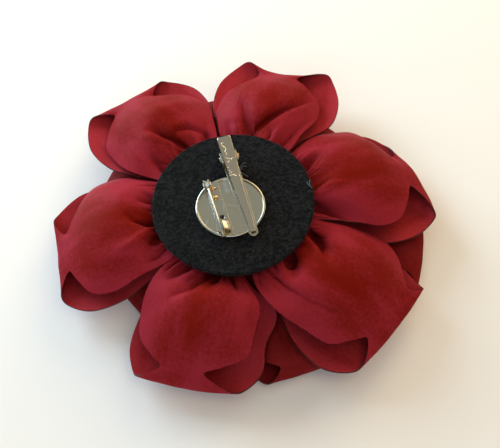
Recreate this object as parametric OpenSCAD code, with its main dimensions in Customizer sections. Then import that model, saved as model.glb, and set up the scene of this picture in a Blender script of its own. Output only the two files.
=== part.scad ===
// Satin flower brooch, lying face down, with a pin bar and an alligator clip on its felt back.
// Millimetres, +Z up. The origin is the middle of the outline on the surface that the flower lies on.

/* [Felt back] */
// Radius of the felt disc
felt_r = 29.2; // [28.8:0.1:29.6]
// Thickness of the felt disc
felt_t = 2; // [1.6:0.1:2]
// Height of the felt's upper face above the surface that the flower lies on
felt_top = 28; // [27.5:0.1:28.5]
// How far the felt's middle lies from the middle of the outline, along X
felt_x = -3; // [-8:0.1:8]
// How far the felt's middle lies from the middle of the outline, along Y
felt_y = -4.5; // [-8:0.1:8]

/* [Satin petals] */
// Thickness of the satin walls
cloth_t = 1; // [0.8:0.1:1]
// Rings of facets along an outer petal, from its gathered end round the fold and back
outer_rings = 20; // [18:1:22]
// Strips of facets across an outer petal
outer_strips = 12; // [10:2:14]
// Rings of facets along a petal of the second row
under_rings = 15; // [13:1:16]
// Strips of facets across a petal of the second row
under_strips = 8; // [8:2:10]
// Rings of facets along an inner petal
inner_rings = 8; // [7:1:10]
// Strips of facets across an inner petal
inner_strips = 8; // [6:2:10]

/* [Flower centre] */
// Radius of the stem that the petals are sewn around
stem_r = 7; // [6:0.5:7.5]
// Radius of the rolled bud's outer turn
bud_r = 9.5; // [8.5:0.5:10]

/* [Metal plate and pin bar] */
// Radius of the round metal plate
plate_r = 12.5; // [12:0.1:13]
// Thickness of the round metal plate
plate_t = 0.8; // [0.7:0.1:0.9]
// Width of the pin bar
bar_w = 4.6; // [4.4:0.1:4.8]
// Length of the pin bar
bar_l = 22.8; // [22.4:0.1:23.2]
// Turn of the pin bar from the Y axis, in degrees
bar_turn = 11.5; // [10:0.5:13]
// Radius of the pin's wire
pin_r = 0.4; // [0.35:0.05:0.45]

/* [Alligator clip] */
// Thickness of the clip's sheet metal
clip_t = 0.5; // [0.4:0.05:0.5]
// Turn of the clip from the Y axis, in degrees
clip_turn = 11.5; // [10.5:0.1:12.5]
// Radius of the clip's hinge pin
hinge_r = 0.6; // [0.5:0.05:0.6]
// Length from the hinge to the tip of the lower jaw
jaw_l = 32.5; // [32:0.1:33]
// Length of the lever behind the hinge
lever_l = 7.6; // [7:0.1:8]
// Slope of the lever while the jaws are closed, in degrees
lever_slope = 16; // [14:1:18]

/* [Hidden] */
red = [0.66, 0.08, 0.15];
deep_red = [0.55, 0.06, 0.12];
black = [0.08, 0.08, 0.09];
silver = [0.74, 0.73, 0.7];
gap = 0.05;            // between pieces that lie on each other
run_gap = 0.05;        // radial, between a hinge pin and its hole
sink = 0.1;            // how far soldered pieces of metal run into each other

felt_under = felt_top - felt_t;
petal_start = 19;      // radius where the outer petals are sewn down, under the felt
under_start = 16;
under_sewn = 18;       // height where the second row is sewn down

// Columns of a petal's row
NAME = 0;
ANGLE = 1;             // direction of the petal from the felt's middle, in degrees
REACH = 2;             // distance from the felt's middle to the fold
RIM = 3;               // height of the fold
SKEW = 4;              // how much further out the fold's left corner lies than its right one
BOW = 5;               // how far the middle of the fold stands out past its corners
LEFT = 6;              // the petal's left side, seen from the felt's middle
RIGHT = 7;
// Columns of a side: half widths of the back layer at the felt's edge, halfway out, at its widest
// place, and at the notch beside the fold's corner, then at the corner, and of the front layer at
// its widest place and halfway in. The last is how far the pocket between the layers gapes there.
BASE = 0;
WAIST = 1;
LOBE = 2;
NOTCH = 3;
CORNER = 4;
FRONT = 5;
HEM = 6;
MOUTH = 7;

outer_petals = [
    // name, angle, reach, rim, skew, bow, then base, waist, lobe, notch, corner, front, hem and
    // mouth of the left side and of the right side
    ["petal_upper_left", 122, 72.5, 13, 2, 0,
        [14, 20.2, 21, 9, 16, 25, 19, 3], [12.8, 18.7, 23.4, 9, 14.5, 24.2, 17.8, 1]],
    ["petal_top", 71, 71.5, 14, 0, -3,
        [12.5, 17.1, 20.8, 8, 13, 22.3, 17, 1], [13, 17, 20, 8, 18, 26.2, 17, 5]],
    ["petal_right", 14, 70, 11, -4, 2,
        [15, 21.7, 24.6, 7.5, 8.5, 21.2, 18, 1], [14, 19, 23.2, 9, 20, 27.4, 20.2, 6.6]],
    ["petal_lower_right", 318, 70, 10, 1, 1,
        [14.4, 19.8, 25, 15, 18, 21.6, 17.8, 1], [19.5, 23.5, 22.5, 10.5, 17, 27.2, 21, 6]],
    ["petal_bottom", 252, 64.5, 9, -1, 1,
        [10, 17.7, 18, 3.5, 12, 22.4, 23, 6], [17, 22, 23, 12, 18.5, 25.4, 21.5, 4]],
    ["petal_left", 183, 66.6, 10, -1.6, 0,
        [17, 21.4, 23.8, 11, 18, 26, 21, 5], [16.5, 21.2, 25.6, 6, 12, 24, 19.8, 1]]
];
under_petals = [
    ["under_petal_right", 346, 69, 4, 0, 1,
        [11, 14.4, 17, 8, 13, 18, 14, 2], [11, 14.4, 17, 8, 13, 18, 14, 2]],
    ["under_petal_bottom", 289, 61, 4, 3, 0,
        [11, 13.8, 16, 8, 12, 18, 14, 2], [11, 13.8, 16, 8, 12, 18, 14, 3]],
    ["under_petal_lower_left", 216, 47, 4, 0, 0,
        [11, 13.8, 16, 8, 12, 17, 13.6, 2], [11, 13.8, 16, 8, 12, 17, 13.6, 2]],
    ["under_petal_left", 151, 57, 4, 0, 0,
        [10, 12.8, 15, 8, 11, 16, 12.7, 2], [10, 12.8, 15, 8, 11, 16, 12.7, 2]],
    ["under_petal_top_left", 97, 64, 4, 0, 0,
        [9, 11.8, 14, 8, 11, 15, 11.7, 2], [9, 11.8, 14, 8, 11, 15, 11.7, 2]],
    ["under_petal_top_right", 44, 60, 4, 0, 0,
        [10, 12.8, 15, 8, 11, 16, 12.7, 2], [10, 12.8, 15, 8, 11, 16, 12.7, 2]]
];

// Columns of a section row, from the gathered end of the back layer, round the fold, to the
// gathered end of the front layer. RUN is the way from the sewn end out to the fold, RISE the way
// up from the fold's height to the sewn height. The next seven are shares of the side's own half
// widths. EDGE is how high the layer's side stands over its middle, OPEN the share of the pocket's
// mouth added to that, PLEAT the share of the gathers' depth, and TURN the share of skew and bow.
RUN = 0;
RISE = 1;
OF_BASE = 2;
OF_WAIST = 3;
OF_LOBE = 4;
OF_NOTCH = 5;
OF_CORNER = 6;
OF_FRONT = 7;
OF_HEM = 8;
EDGE = 9;
OPEN = 10;
PLEAT = 11;
TURN = 12;
outer_sections = [
    // run, rise, base, waist, lobe, notch, corner, front, hem, edge, open, pleat, turn
    [0.00, 0.94, 0.52, 0, 0, 0, 0, 0, 0, -1.5, 0, 0.8, 0],
    [0.20, 0.89, 1, 0, 0, 0, 0, 0, 0, -3, 0.2, 1, 0],
    [0.42, 1.03, 0, 1, 0, 0, 0, 0, 0, -8, 0.6, 1, 0],
    [0.60, 0.95, 0, 0, 1, 0, 0, 0, 0, -12.5, 1, 0.7, 0],
    [0.75, 0.72, 0, 0, 0.93, 0, 0, 0, 0, -11.5, 1, 0.4, 0],
    [0.85, 0.46, 0, 0, 0.45, 0.45, 0, 0, 0, -7, 0.8, 0.2, 0.2],
    [0.92, 0.26, 0, 0, 0, 1, 0, 0, 0, -3, 0.4, 0, 0.5],
    [1.00, 0.00, 0, 0, 0, 0, 1, 0, 0, 1, 0, 0, 1],
    [0.96, -0.19, 0, 0, 0, 0, 0.5, 0.5, 0, 1.5, 0, 0, 0.7],
    [0.80, -0.23, 0, 0, 0, 0, 0, 1, 0, 3, 0, 0, 0.2],
    [0.60, -0.12, 0, 0, 0, 0, 0, 0.97, 0, 3.5, 0, 0, 0],
    [0.40, 0.12, 0, 0, 0, 0, 0, 0, 1, 2.5, 0, 0, 0],
    [0.20, 0.44, 0.55, 0, 0, 0, 0, 0, 0.28, 1, 0, 0, 0],
    [0.00, 0.66, 0.52, 0, 0, 0, 0, 0, 0, 0, 0, 0, 0]
];
under_sections = [
    [0.00, 0.94, 0.55, 0, 0, 0, 0, 0, 0, -1, 0, 0, 0],
    [0.20, 0.80, 1, 0, 0, 0, 0, 0, 0, -2, 0.2, 0, 0],
    [0.42, 0.50, 0, 1, 0, 0, 0, 0, 0, -2.5, 0.3, 0, 0],
    [0.60, 0.36, 0, 0, 1, 0, 0, 0, 0, -4, 0.6, 0, 0],
    [0.75, 0.30, 0, 0, 0.93, 0, 0, 0, 0, -4, 0.8, 0, 0],
    [0.85, 0.24, 0, 0, 0.45, 0.45, 0, 0, 0, -3, 0.8, 0, 0.2],
    [0.92, 0.16, 0, 0, 0, 1, 0, 0, 0, -1.5, 0.4, 0, 0.5],
    [1.00, 0.00, 0, 0, 0, 0, 1, 0, 0, 0.6, 0, 0, 1],
    [0.96, -0.17, 0, 0, 0, 0, 0.5, 0.5, 0, 0.8, 0, 0, 0.7],
    [0.80, -0.24, 0, 0, 0, 0, 0, 1, 0, 1, 0, 0, 0.2],
    [0.60, -0.22, 0, 0, 0, 0, 0, 0.97, 0, 1.2, 0, 0, 0],
    [0.40, 0.10, 0, 0, 0, 0, 0, 0, 1, 1, 0, 0, 0],
    [0.20, 0.36, 0.55, 0, 0, 0, 0, 0, 0.28, 0.6, 0, 0, 0],
    [0.00, 0.50, 0.55, 0, 0, 0, 0, 0, 0, 0, 0, 0, 0]
];

// Gathers of the outer petals, deepest at the felt: the petal, the place across it at the felt's
// edge and further out (-1 is the right side, 1 the left), depth, length along the run and width
G_PETAL = 0;
G_FROM = 1;
G_TO = 2;
G_DEPTH = 3;
G_LENGTH = 4;
G_WIDTH = 5;
gathers = [
    ["petal_upper_left", 0, 0.22, 2.2, 0.42, 0.15],
    ["petal_upper_left", 0.7, 0.55, 1.6, 0.35, 0.15],
    ["petal_upper_left", -0.72, -0.78, 1.7, 0.3, 0.14],
    ["petal_top", 0.06, -0.8, 2.6, 0.62, 0.15],
    ["petal_top", 0.2, 0.5, 2, 0.45, 0.15],
    ["petal_top", 0.75, 0.82, 1.3, 0.25, 0.14],
    ["petal_right", -0.64, -1, 2.8, 0.42, 0.14],
    ["petal_right", 0, 0.1, 1.6, 0.3, 0.15],
    ["petal_right", 0.52, 0.45, 1.7, 0.32, 0.15],
    ["petal_lower_right", -0.2, -0.5, 2.8, 0.22, 0.14],
    ["petal_lower_right", 0.55, 0.05, 2.4, 0.36, 0.14],
    ["petal_lower_right", -0.88, -0.68, 1.4, 0.5, 0.12],
    ["petal_bottom", -0.62, -0.8, 2.2, 0.25, 0.14],
    ["petal_bottom", -0.14, -0.66, 1.6, 0.45, 0.13],
    ["petal_bottom", 0.06, 0, 2, 0.22, 0.13],
    ["petal_left", 0.08, -0.15, 2, 0.3, 0.13],
    ["petal_left", 0.4, 0.6, 2.2, 0.2, 0.14],
    ["petal_left", -0.45, -0.45, 1.8, 0.32, 0.15]
];
gather_start = 0.15;   // run at which the gathers begin to fade
side_round = 2.2;      // power of the curve across a petal: higher is flatter with steeper sides
bow_even = 0.35;       // share of the bow that lies past the fold's mean line

// Inner petals: distance from the felt's middle, height, half width, and how far the sides curl
// up. Each petal is one layer.
inner_count = 5;
inner_turn = 20;
inner_sections = [
    [8.5, 10.5, 4.2, 0],
    [13, 7.4, 7.6, 0.2],
    [18, 4.8, 10, 0.4],
    [23, 3, 11.5, 0.6],
    [27, 2, 10, 0.8],
    [29.5, 1.6, 5, 0.6]
];

// Turns of the rolled bud: outer radius as a share of bud_r, lowest height and the angle where
// the turn's opening faces
bud_turns = [
    [1, 1.2, 0],
    [0.7, 0.7, 130],
    [0.4, 0.5, 250]
];
bud_opening = 70;      // degrees of each turn that stay open
bud_high = 12;         // height where the turns are sewn to the stem
bud_neck = 0.55;       // a turn's radius at that height, as a share of its own
bud_belly = 0.55;      // how far up a turn is widest, as a share of its height
bud_inset = 0.3;       // how far the lowest edge of a turn draws in
stem_low = 11;

// Heights of the metal pieces
plate_z = felt_top + gap;
plate_top = plate_z + plate_t;
bar_t = 0.6;
bar_top = plate_top + bar_t;
pin_z = bar_top + 2.2;                 // height of the pin's wire and its hinge
plate_x = -1;                          // middle of the plate, from the felt's middle
plate_y = -2.8;
rim_r = 0.5;                           // the plate's rolled rim

// The pin bar, in its own turned frame: X to the right of the bar, Y towards its hinge
bar_x = -4.05;                         // the bar's middle line, from the plate's middle
bar_end_y = 11.4;                      // the bar's hinge end, from the plate's middle
pin_x = -5.85;                         // the wire's line
pin_hinge_y = 9.9;
pin_eye_r = 1.25;
pin_shaft_l = 14;                      // from the eye to the taper
pin_taper_l = 6.9;
pin_tip_r = 0.12;
pin_eye_t = 0.9;
rivet_r = 0.5;
rivet_head_r = 0.85;
rivet_head_t = 0.4;
pin_ear_t = 0.5;
pin_ear_l = 2.6;
pin_ear_over = 1.1;                    // how far the ears stand over the rivet
ear_gap = 1.1;                         // between the two ears of the pin's hinge
solder_y = 4.7;                        // solder rivet on the bar
solder_r = 0.8;
solder_h = 0.4;
bar_hole_y = -3.5;
bar_hole_r = 0.9;
catch_y = -8.3;
catch_l = 3.4;
catch_t = 0.45;
catch_side = 0.3;                      // from the wire to the catch's upright
catch_under = 0.1;                     // from the wire to the rest below it
catch_rest_w = 1.9;                    // width of the rest below the wire
catch_lip = [[0, 0], [2.6, -1.8], [2.6, -2.3], [0, -0.6]];   // folded over to the right
lip_z = 0.8;                           // the lip's foot over the wire's line

// The clip, in its own turned frame: X across the clip, Y towards the lever, from the hinge
clip_x = 4.8;                          // the clip's middle line, from the plate's middle
hinge_y = 18.2;                        // the hinge, from the plate's middle
hinge_z = 3;                           // the hinge's height over the plate
lower_w = [[4.6, 5.4], [-12, 5], [-jaw_l + 1.65, 3.3]];   // y and width along the lower jaw
upper_w = [[0, 4.8], [-8, 3.7], [-jaw_l + 3.4, 2.2]];     // y and width along the upper jaw
lever_w = 5.1;
lever_round = [[0, 1.5], [0.3, 0.6], [0.9, 0]];   // from its end, and how much narrower it is there
crease_l = 8.3;                        // from the hinge to the bend in the upper jaw
jaw_tip_y = -jaw_l + 1.4;              // the end of the upper jaw
jaw_rest = 0.25;                       // gap between the closed jaws at the tip
tooth_h = 0.45;
tooth_count = 12;
ear_w = 6.2;                           // outer width over the lower jaw's hinge ears
ear_l = 4.4;
ear_over = 1.2;                        // how far the ears stand over the hinge
head_r = 1;                            // the hinge pin's peened heads
head_t = 0.45;
clip_room = 20;                        // longer than any size across the clip or up from the plate
spring_wire_r = 0.26;
spring_turns = 6;
spring_pitch = 0.46;
spring_ease = 0.1;                     // between the spring and the hinge pin

// A row between the rows of a table, on a smooth curve through them
function clamp_row(i, last) = max(0, min(last, i));
function smooth_row(table, t) =
    let (last = len(table) - 1, i = min(floor(t), last - 1), f = t - i)
    let (a = table[clamp_row(i - 1, last)], b = table[i], c = table[i + 1])
    let (d = table[clamp_row(i + 2, last)])
    0.5 * (2 * b + (c - a) * f + (2 * a - 5 * b + 4 * c - d) * f * f
        + (3 * b - a - 3 * c + d) * f * f * f);

// How far the gathers pull the back layer down at a place across a petal
function gather_fade(g, run) = max(0, 1 - pow(max(0, run - gather_start) / g[G_LENGTH], 1.5));
function gather_place(g, run) =
    g[G_FROM] + (g[G_TO] - g[G_FROM]) * min(1, max(0, run - gather_start) / g[G_LENGTH]);
function gather_drop(list, run, across) =
    len(list) == 0 ? 0 : [for (g = list) 1]
        * [for (g = list) g[G_DEPTH] * gather_fade(g, run)
            * exp(-pow((across - gather_place(g, run)) / g[G_WIDTH], 2))];

// Half width of a section on one side of a petal
function half_width(side, row) =
    side[BASE] * row[OF_BASE] + side[WAIST] * row[OF_WAIST] + side[LOBE] * row[OF_LOBE]
    + side[NOTCH] * row[OF_NOTCH] + side[CORNER] * row[OF_CORNER] + side[FRONT] * row[OF_FRONT]
    + side[HEM] * row[OF_HEM];

// A point of a folded petal: across runs from -1 at its right side to 1 at its left
function petal_point(petal, row, start, sewn, list, across) =
    let (side = across > 0 ? petal[LEFT] : petal[RIGHT])
    let (v = across * half_width(side, row))
    let (run_u = start + (petal[REACH] - start) * row[RUN])
    let (u = run_u - (1 - row[RUN]) * v * v / (2 * run_u)
        + row[TURN] * (petal[SKEW] / 2 * across + petal[BOW] * (bow_even - across * across)))
    let (middle = petal[RIM] + (sewn - petal[RIM]) * row[RISE])
    let (rise = (row[EDGE] + side[MOUTH] * row[OPEN]) * pow(abs(across), side_round))
    let (z = middle + rise - row[PLEAT] * gather_drop(list, row[RUN], across))
    [u * cos(petal[ANGLE]) - v * sin(petal[ANGLE]), u * sin(petal[ANGLE]) + v * cos(petal[ANGLE]), z];

function petal_grid(petal, sections, start, sewn, list, rings, strips) = [
    for (i = [0:rings - 1])
        let (row = smooth_row(sections, (len(sections) - 1) * i / (rings - 1)))
        [for (j = [0:strips]) petal_point(petal, row, start, sewn, list, 2 * j / strips - 1)]
];

function inner_grid(rings, strips) = [
    for (i = [0:rings - 1])
        let (row = smooth_row(inner_sections, (len(inner_sections) - 1) * i / (rings - 1)))
        [for (j = [0:strips])
            let (across = 2 * j / strips - 1, v = across * row[2])
            [row[0] - v * v / (3 * row[0]), v, row[1] + row[3] * across * across]]
];

// The direction that a sheet faces at a point of its grid
function unit(v) = v / norm(v);
function sheet_normal(g, i, j) =
    let (n = len(g) - 1, m = len(g[0]) - 1)
    unit(cross(g[min(i + 1, n)][j] - g[max(i - 1, 0)][j], g[i][min(j + 1, m)] - g[i][max(j - 1, 0)]));

// A wall of even thickness around a grid of points
module sheet_wall(g, t) {
    n = len(g);
    m = len(g[0]);
    flat = [for (s = [1, -1]) for (i = [0:n - 1]) for (j = [0:m - 1])
        g[i][j] + s * t / 2 * sheet_normal(g, i, j)];
    function at(s, i, j) = s * n * m + i * m + j;
    faces = concat(
        [for (i = [0:n - 2]) for (j = [0:m - 2]) each [
            [at(0, i, j), at(0, i, j + 1), at(0, i + 1, j + 1)],
            [at(0, i, j), at(0, i + 1, j + 1), at(0, i + 1, j)],
            [at(1, i, j), at(1, i + 1, j + 1), at(1, i, j + 1)],
            [at(1, i, j), at(1, i + 1, j), at(1, i + 1, j + 1)]]],
        [for (i = [0:n - 2]) for (j = [0, m - 1])
            let (a = at(0, i, j), b = at(0, i + 1, j), c = at(1, i + 1, j), d = at(1, i, j))
            each j == 0 ? [[a, b, c], [a, c, d]] : [[a, c, b], [a, d, c]]],
        [for (j = [0:m - 2]) for (i = [0, n - 1])
            let (a = at(0, i, j), b = at(0, i, j + 1), c = at(1, i, j + 1), d = at(1, i, j))
            each i == 0 ? [[a, c, b], [a, d, c]] : [[a, b, c], [a, c, d]]]
    );
    polyhedron(flat, faces);
}

module at_felt() { translate([felt_x, felt_y, 0]) children(); }

module felt_disc() {
    color(black) at_felt() translate([0, 0, felt_under]) cylinder(r = felt_r, h = felt_t, $fn = 96);
}

module outer_petal(p) {
    own = [for (g = gathers) if (g[G_PETAL] == p[NAME]) g];
    color(red) at_felt() sheet_wall(petal_grid(
        p, outer_sections, petal_start, felt_under, own, outer_rings, outer_strips), cloth_t);
}

module under_petal(p) {
    color(deep_red) at_felt() sheet_wall(petal_grid(
        p, under_sections, under_start, under_sewn, [], under_rings, under_strips), cloth_t);
}

module inner_petal(i) {
    color(red) at_felt() rotate([0, 0, inner_turn + 360 / inner_count * i])
        sheet_wall(inner_grid(inner_rings, inner_strips), cloth_t);
}

// A stem under the felt, and a bud of three open turns of satin rolled round each other
module flower_centre() {
    color(deep_red) at_felt() {
        translate([0, 0, stem_low]) cylinder(r = stem_r, h = felt_under - gap - stem_low, $fn = 48);
        for (turn = bud_turns)
            rotate([0, 0, turn[2]]) bud_turn(turn[0] * bud_r, turn[1]);
    }
}

module bud_turn(r, low) {
    neck = r * bud_neck;
    belly_z = low + (bud_high - low) * bud_belly;
    rotate_extrude(angle = 360 - bud_opening, $fn = 60) polygon([
        [neck, bud_high],
        [neck + cloth_t, bud_high],
        [r, belly_z],
        [r - bud_inset, low],
        [r - bud_inset - cloth_t, low],
        [r - cloth_t, belly_z]
    ]);
}

module at_plate() { at_felt() translate([plate_x, plate_y, 0]) children(); }
module at_bar() { at_plate() rotate([0, 0, bar_turn]) children(); }
module at_clip() {
    at_plate() rotate([0, 0, clip_turn]) translate([clip_x, hinge_y, plate_top]) children();
}

// A strip that follows a list of y and width
module strip_outline(widths) {
    right = [for (w = widths) [w[1] / 2, w[0]]];
    left = [for (i = [len(widths) - 1:-1:0]) [-widths[i][1] / 2, widths[i][0]]];
    polygon(concat(right, left));
}

// A prism across the clip with the given outline along Y and Z
module across_clip(w) {
    translate([w / 2, 0, 0]) rotate([90, 0, -90]) mirror([1, 0, 0]) linear_extrude(w) children();
}

module plate() {
    translate([0, 0, plate_z]) cylinder(r = plate_r, h = plate_t, $fn = 96);
    translate([0, 0, plate_top]) rotate_extrude($fn = 96)
        translate([plate_r - rim_r, 0]) circle(r = rim_r, $fn = 24);
}

module pin_bar() {
    bar_low = plate_top - sink;
    difference() {
        translate([bar_x - bar_w / 2, bar_end_y - bar_l, bar_low]) cube([bar_w, bar_l, bar_t + sink]);
        translate([bar_x, bar_hole_y, bar_low - 1]) cylinder(r = bar_hole_r, h = bar_t + 2, $fn = 32);
    }
    translate([bar_x, solder_y, bar_top - sink]) cylinder(r = solder_r, h = solder_h + sink, $fn = 32);
    pin_ears();
    pin_catch();
}

// Two ears that hold the pin's rivet, folded up from the bar's left side
module pin_ears() {
    difference() {
        for (side = [-1, 1])
            translate([pin_x + side * (ear_gap + pin_ear_t) / 2, pin_hinge_y, plate_top])
                translate([-pin_ear_t / 2, -pin_ear_l / 2, 0])
                    cube([pin_ear_t, pin_ear_l, pin_z - plate_top + pin_ear_over]);
        translate([pin_x, pin_hinge_y, pin_z]) rotate([0, 90, 0])
            cylinder(r = rivet_r + run_gap, h = clip_room, center = true, $fn = 32);
    }
}

// A hook folded up from the bar beside the wire's tip; its lip ends short of the wire, so that
// the pin lifts straight out
module pin_catch() {
    wall_x = pin_x + pin_r + catch_side;
    rest_h = pin_z - pin_r - catch_under - plate_top;
    translate([wall_x, catch_y - catch_l / 2, plate_top]) {
        cube([catch_t, catch_l, pin_z - plate_top + lip_z + catch_t]);
        translate([sink - catch_rest_w, 0, 0]) cube([catch_rest_w, catch_l, rest_h]);
    }
    translate([wall_x, catch_y + catch_l / 2, pin_z + lip_z]) rotate([90, 0, 0])
        linear_extrude(catch_l) polygon(catch_lip);
}

// The lower jaw: a strip soldered to the plate, with a turned-up rim and two hinge ears
module lower_jaw() {
    low = -sink;
    tip_y = -jaw_l + lower_w[2][1] / 2;
    translate([0, 0, low]) linear_extrude(clip_t + sink) {
        strip_outline(lower_w);
        translate([0, tip_y]) circle(d = lower_w[2][1], $fn = 32);
    }
    difference() {
        for (side = [-1, 1])
            translate([side * (ear_w - clip_t) / 2 - clip_t / 2, -ear_l / 2, 0])
                cube([clip_t, ear_l, hinge_z + ear_over]);
        hinge_cylinder(hinge_r + run_gap, clip_room);
    }
    translate([-ear_w / 2, -ear_l / 2, 0]) cube([ear_w, ear_l, clip_t]);
}

module hinge_cylinder(r, l) {
    translate([0, 0, hinge_z]) rotate([0, 90, 0]) cylinder(r = r, h = l, center = true, $fn = 32);
}

module finding_base() {
    color(silver) {
        at_plate() plate();
        at_bar() pin_bar();
        at_clip() lower_jaw();
    }
}

// Heights of the upper jaw's underside along the clip
roof_z = hinge_z + hinge_r + 0.75;
tip_z = clip_t + jaw_rest + tooth_h;
function lever_point(l, up) = [
    l * cos(lever_slope) - up * sin(lever_slope), roof_z + l * sin(lever_slope) + up * cos(lever_slope)];
lever_end_y = lever_point(lever_l, 0)[0];
jaw_roof = [[jaw_tip_y, tip_z], lever_point(-crease_l, 0), lever_point(lever_l, 0)];

// Seen from above, drawn in at both sides by an inset
module jaw_outline(inset = 0) {
    lever = [for (r = lever_round) [lever_end_y - r[0], lever_w - r[1]]];
    rows = concat(lever, upper_w, [[jaw_tip_y - inset, upper_w[2][1]]]);
    strip_outline([for (r = rows) [r[0], r[1] - 2 * inset]]);
}

// The jaw's sides: level with its teeth along the tip half, folded down past the hinge
module jaw_side_profile() {
    tooth_end = -12;
    step = (tooth_end - jaw_tip_y) / tooth_count;
    teeth = [for (i = [0:tooth_count - 1]) each [
        [jaw_tip_y + step * i, tip_z - tooth_h], [jaw_tip_y + step * (i + 0.5), tip_z]]];
    polygon(concat(teeth, [
        [tooth_end, tip_z - tooth_h + 0.9], [-2.6, hinge_z - 1.4], [1.6, hinge_z - 1.4],
        [3.2, roof_z - 0.2], lever_point(lever_l - 2, -0.1), lever_point(lever_l - 2, 0.2),
        lever_point(-crease_l, 0.2), [jaw_tip_y, tip_z + 0.2]]));
}

module clip_jaw() {
    color(silver) at_clip() difference() {
        union() {
            intersection() {
                linear_extrude(clip_room) jaw_outline();
                across_clip(clip_room) polygon(concat(jaw_roof, [lever_point(lever_l, clip_t),
                    lever_point(-crease_l, clip_t), [jaw_tip_y, tip_z + clip_t]]));
            }
            intersection() {
                linear_extrude(clip_room) difference() {
                    jaw_outline();
                    jaw_outline(clip_t);
                }
                across_clip(clip_room) jaw_side_profile();
            }
        }
        hinge_cylinder(hinge_r + run_gap, clip_room);
    }
}

module clip_hinge_pin() {
    color(silver) at_clip() {
        hinge_cylinder(hinge_r, ear_w + 0.4);
        for (side = [-1, 1]) translate([side * (ear_w / 2 + gap + head_t / 2), 0, hinge_z])
            rotate([0, 90, 0]) cylinder(r = head_r, h = head_t, center = true, $fn = 32);
    }
}

// Turns of wire round the hinge pin, side by side
module clip_spring() {
    turn_r = hinge_r + spring_ease + spring_wire_r;
    color(silver) at_clip() translate([0, 0, hinge_z]) rotate([0, 90, 0]) rotate_extrude($fn = 32)
        for (i = [0:spring_turns - 1])
            translate([turn_r, (i - (spring_turns - 1) / 2) * spring_pitch])
                circle(r = spring_wire_r, $fn = 16);
}

module brooch_pin() {
    color(silver) at_bar() translate([pin_x, pin_hinge_y, pin_z]) {
        difference() {
            rotate([0, 90, 0]) cylinder(r = pin_eye_r, h = pin_eye_t, center = true, $fn = 40);
            rotate([0, 90, 0]) cylinder(r = rivet_r + run_gap, h = clip_room, center = true, $fn = 32);
        }
        translate([0, sink - pin_eye_r, 0]) rotate([90, 0, 0]) {
            cylinder(r = pin_r, h = pin_shaft_l, $fn = 32);
            translate([0, 0, pin_shaft_l]) cylinder(r1 = pin_r, r2 = pin_tip_r, h = pin_taper_l, $fn = 32);
        }
    }
}

module pin_rivet() {
    color(silver) at_bar() translate([pin_x, pin_hinge_y, pin_z]) rotate([0, 90, 0]) {
        cylinder(r = rivet_r, h = ear_gap + 2 * (pin_ear_t + 2 * gap), center = true, $fn = 32);
        for (side = [-1, 1])
            translate([0, 0, side * (ear_gap / 2 + pin_ear_t + gap + rivet_head_t / 2)])
                cylinder(r = rivet_head_r, h = rivet_head_t, center = true, $fn = 32);
    }
}

felt_disc();
for (p = outer_petals) outer_petal(p);
for (p = under_petals) under_petal(p);
for (i = [1:inner_count]) inner_petal(i);
flower_centre();
finding_base();
clip_jaw();
clip_hinge_pin();
clip_spring();
brooch_pin();
pin_rivet();
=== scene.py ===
"""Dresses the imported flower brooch: folded satin petals, a felt back and the metal finding on it."""

import logging
import math
from collections.abc import Iterable, Sequence
from dataclasses import dataclass, field, replace
from enum import Enum, IntEnum

import bpy
import numpy as np
from mathutils import Matrix, Vector


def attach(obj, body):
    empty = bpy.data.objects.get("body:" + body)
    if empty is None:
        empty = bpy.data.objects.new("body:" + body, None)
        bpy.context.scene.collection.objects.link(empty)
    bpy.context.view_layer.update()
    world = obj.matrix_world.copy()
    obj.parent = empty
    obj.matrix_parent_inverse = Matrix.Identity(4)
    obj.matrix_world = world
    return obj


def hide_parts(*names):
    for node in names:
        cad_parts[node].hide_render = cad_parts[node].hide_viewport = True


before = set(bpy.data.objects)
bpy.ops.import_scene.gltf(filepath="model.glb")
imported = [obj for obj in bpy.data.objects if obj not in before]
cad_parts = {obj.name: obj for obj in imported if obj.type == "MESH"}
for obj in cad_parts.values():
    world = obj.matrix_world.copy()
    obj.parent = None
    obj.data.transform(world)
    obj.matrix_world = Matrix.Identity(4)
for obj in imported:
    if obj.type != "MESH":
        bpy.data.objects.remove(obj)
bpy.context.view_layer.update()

log = logging.getLogger("brooch")

MM = 0.001
# The felt disc, and the plate's middle from the felt's and its upper face, in mm.
FELT_MIDDLE = (-3.0, -4.5)
FELT_TOP = 28.0
FELT_T = 2.0
FELT_R = 29.2
PLATE_SHIFT = (-1.0, -2.8)
PLATE_TOP = 28.85
# One unit of a flat layout is 100 mm of cloth.
LAYOUT_SCALE = 0.01
# Random phases are drawn from 0 to nearly a full turn.
PHASE = 6.28
# The least length that a division takes, so that it never meets a zero.
LEAST = 1e-9
# No path runs this way, so a tube's sides can be turned from it.
ASKEW = (0.13, 0.27, 0.95)
# A Mix node's colour sockets go by number, because its socket names repeat.
MIX_FACTOR, MIX_FIRST, MIX_SECOND, MIX_RESULT = 0, 6, 7, 2

Colour = tuple[float, float, float]
Place = tuple[float, float]
Place3 = tuple[float, float, float]
Span = tuple[float, float]
Mesh = tuple[np.ndarray, np.ndarray]


class Body(Enum):
    """Bodies that the pieces ride on."""

    FLOWER = "flower"
    JAW = "jaw"


class Slot(Enum):
    """Material slots of the part."""

    SATIN = "satin"
    FELT = "felt"
    NICKEL = "nickel_plate"


class Layer(IntEnum):
    """Numbers of a sheet's finishes, in the order in which it gets them."""

    REVERSE = 0
    RIM = 1
    FACE = 2


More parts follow.
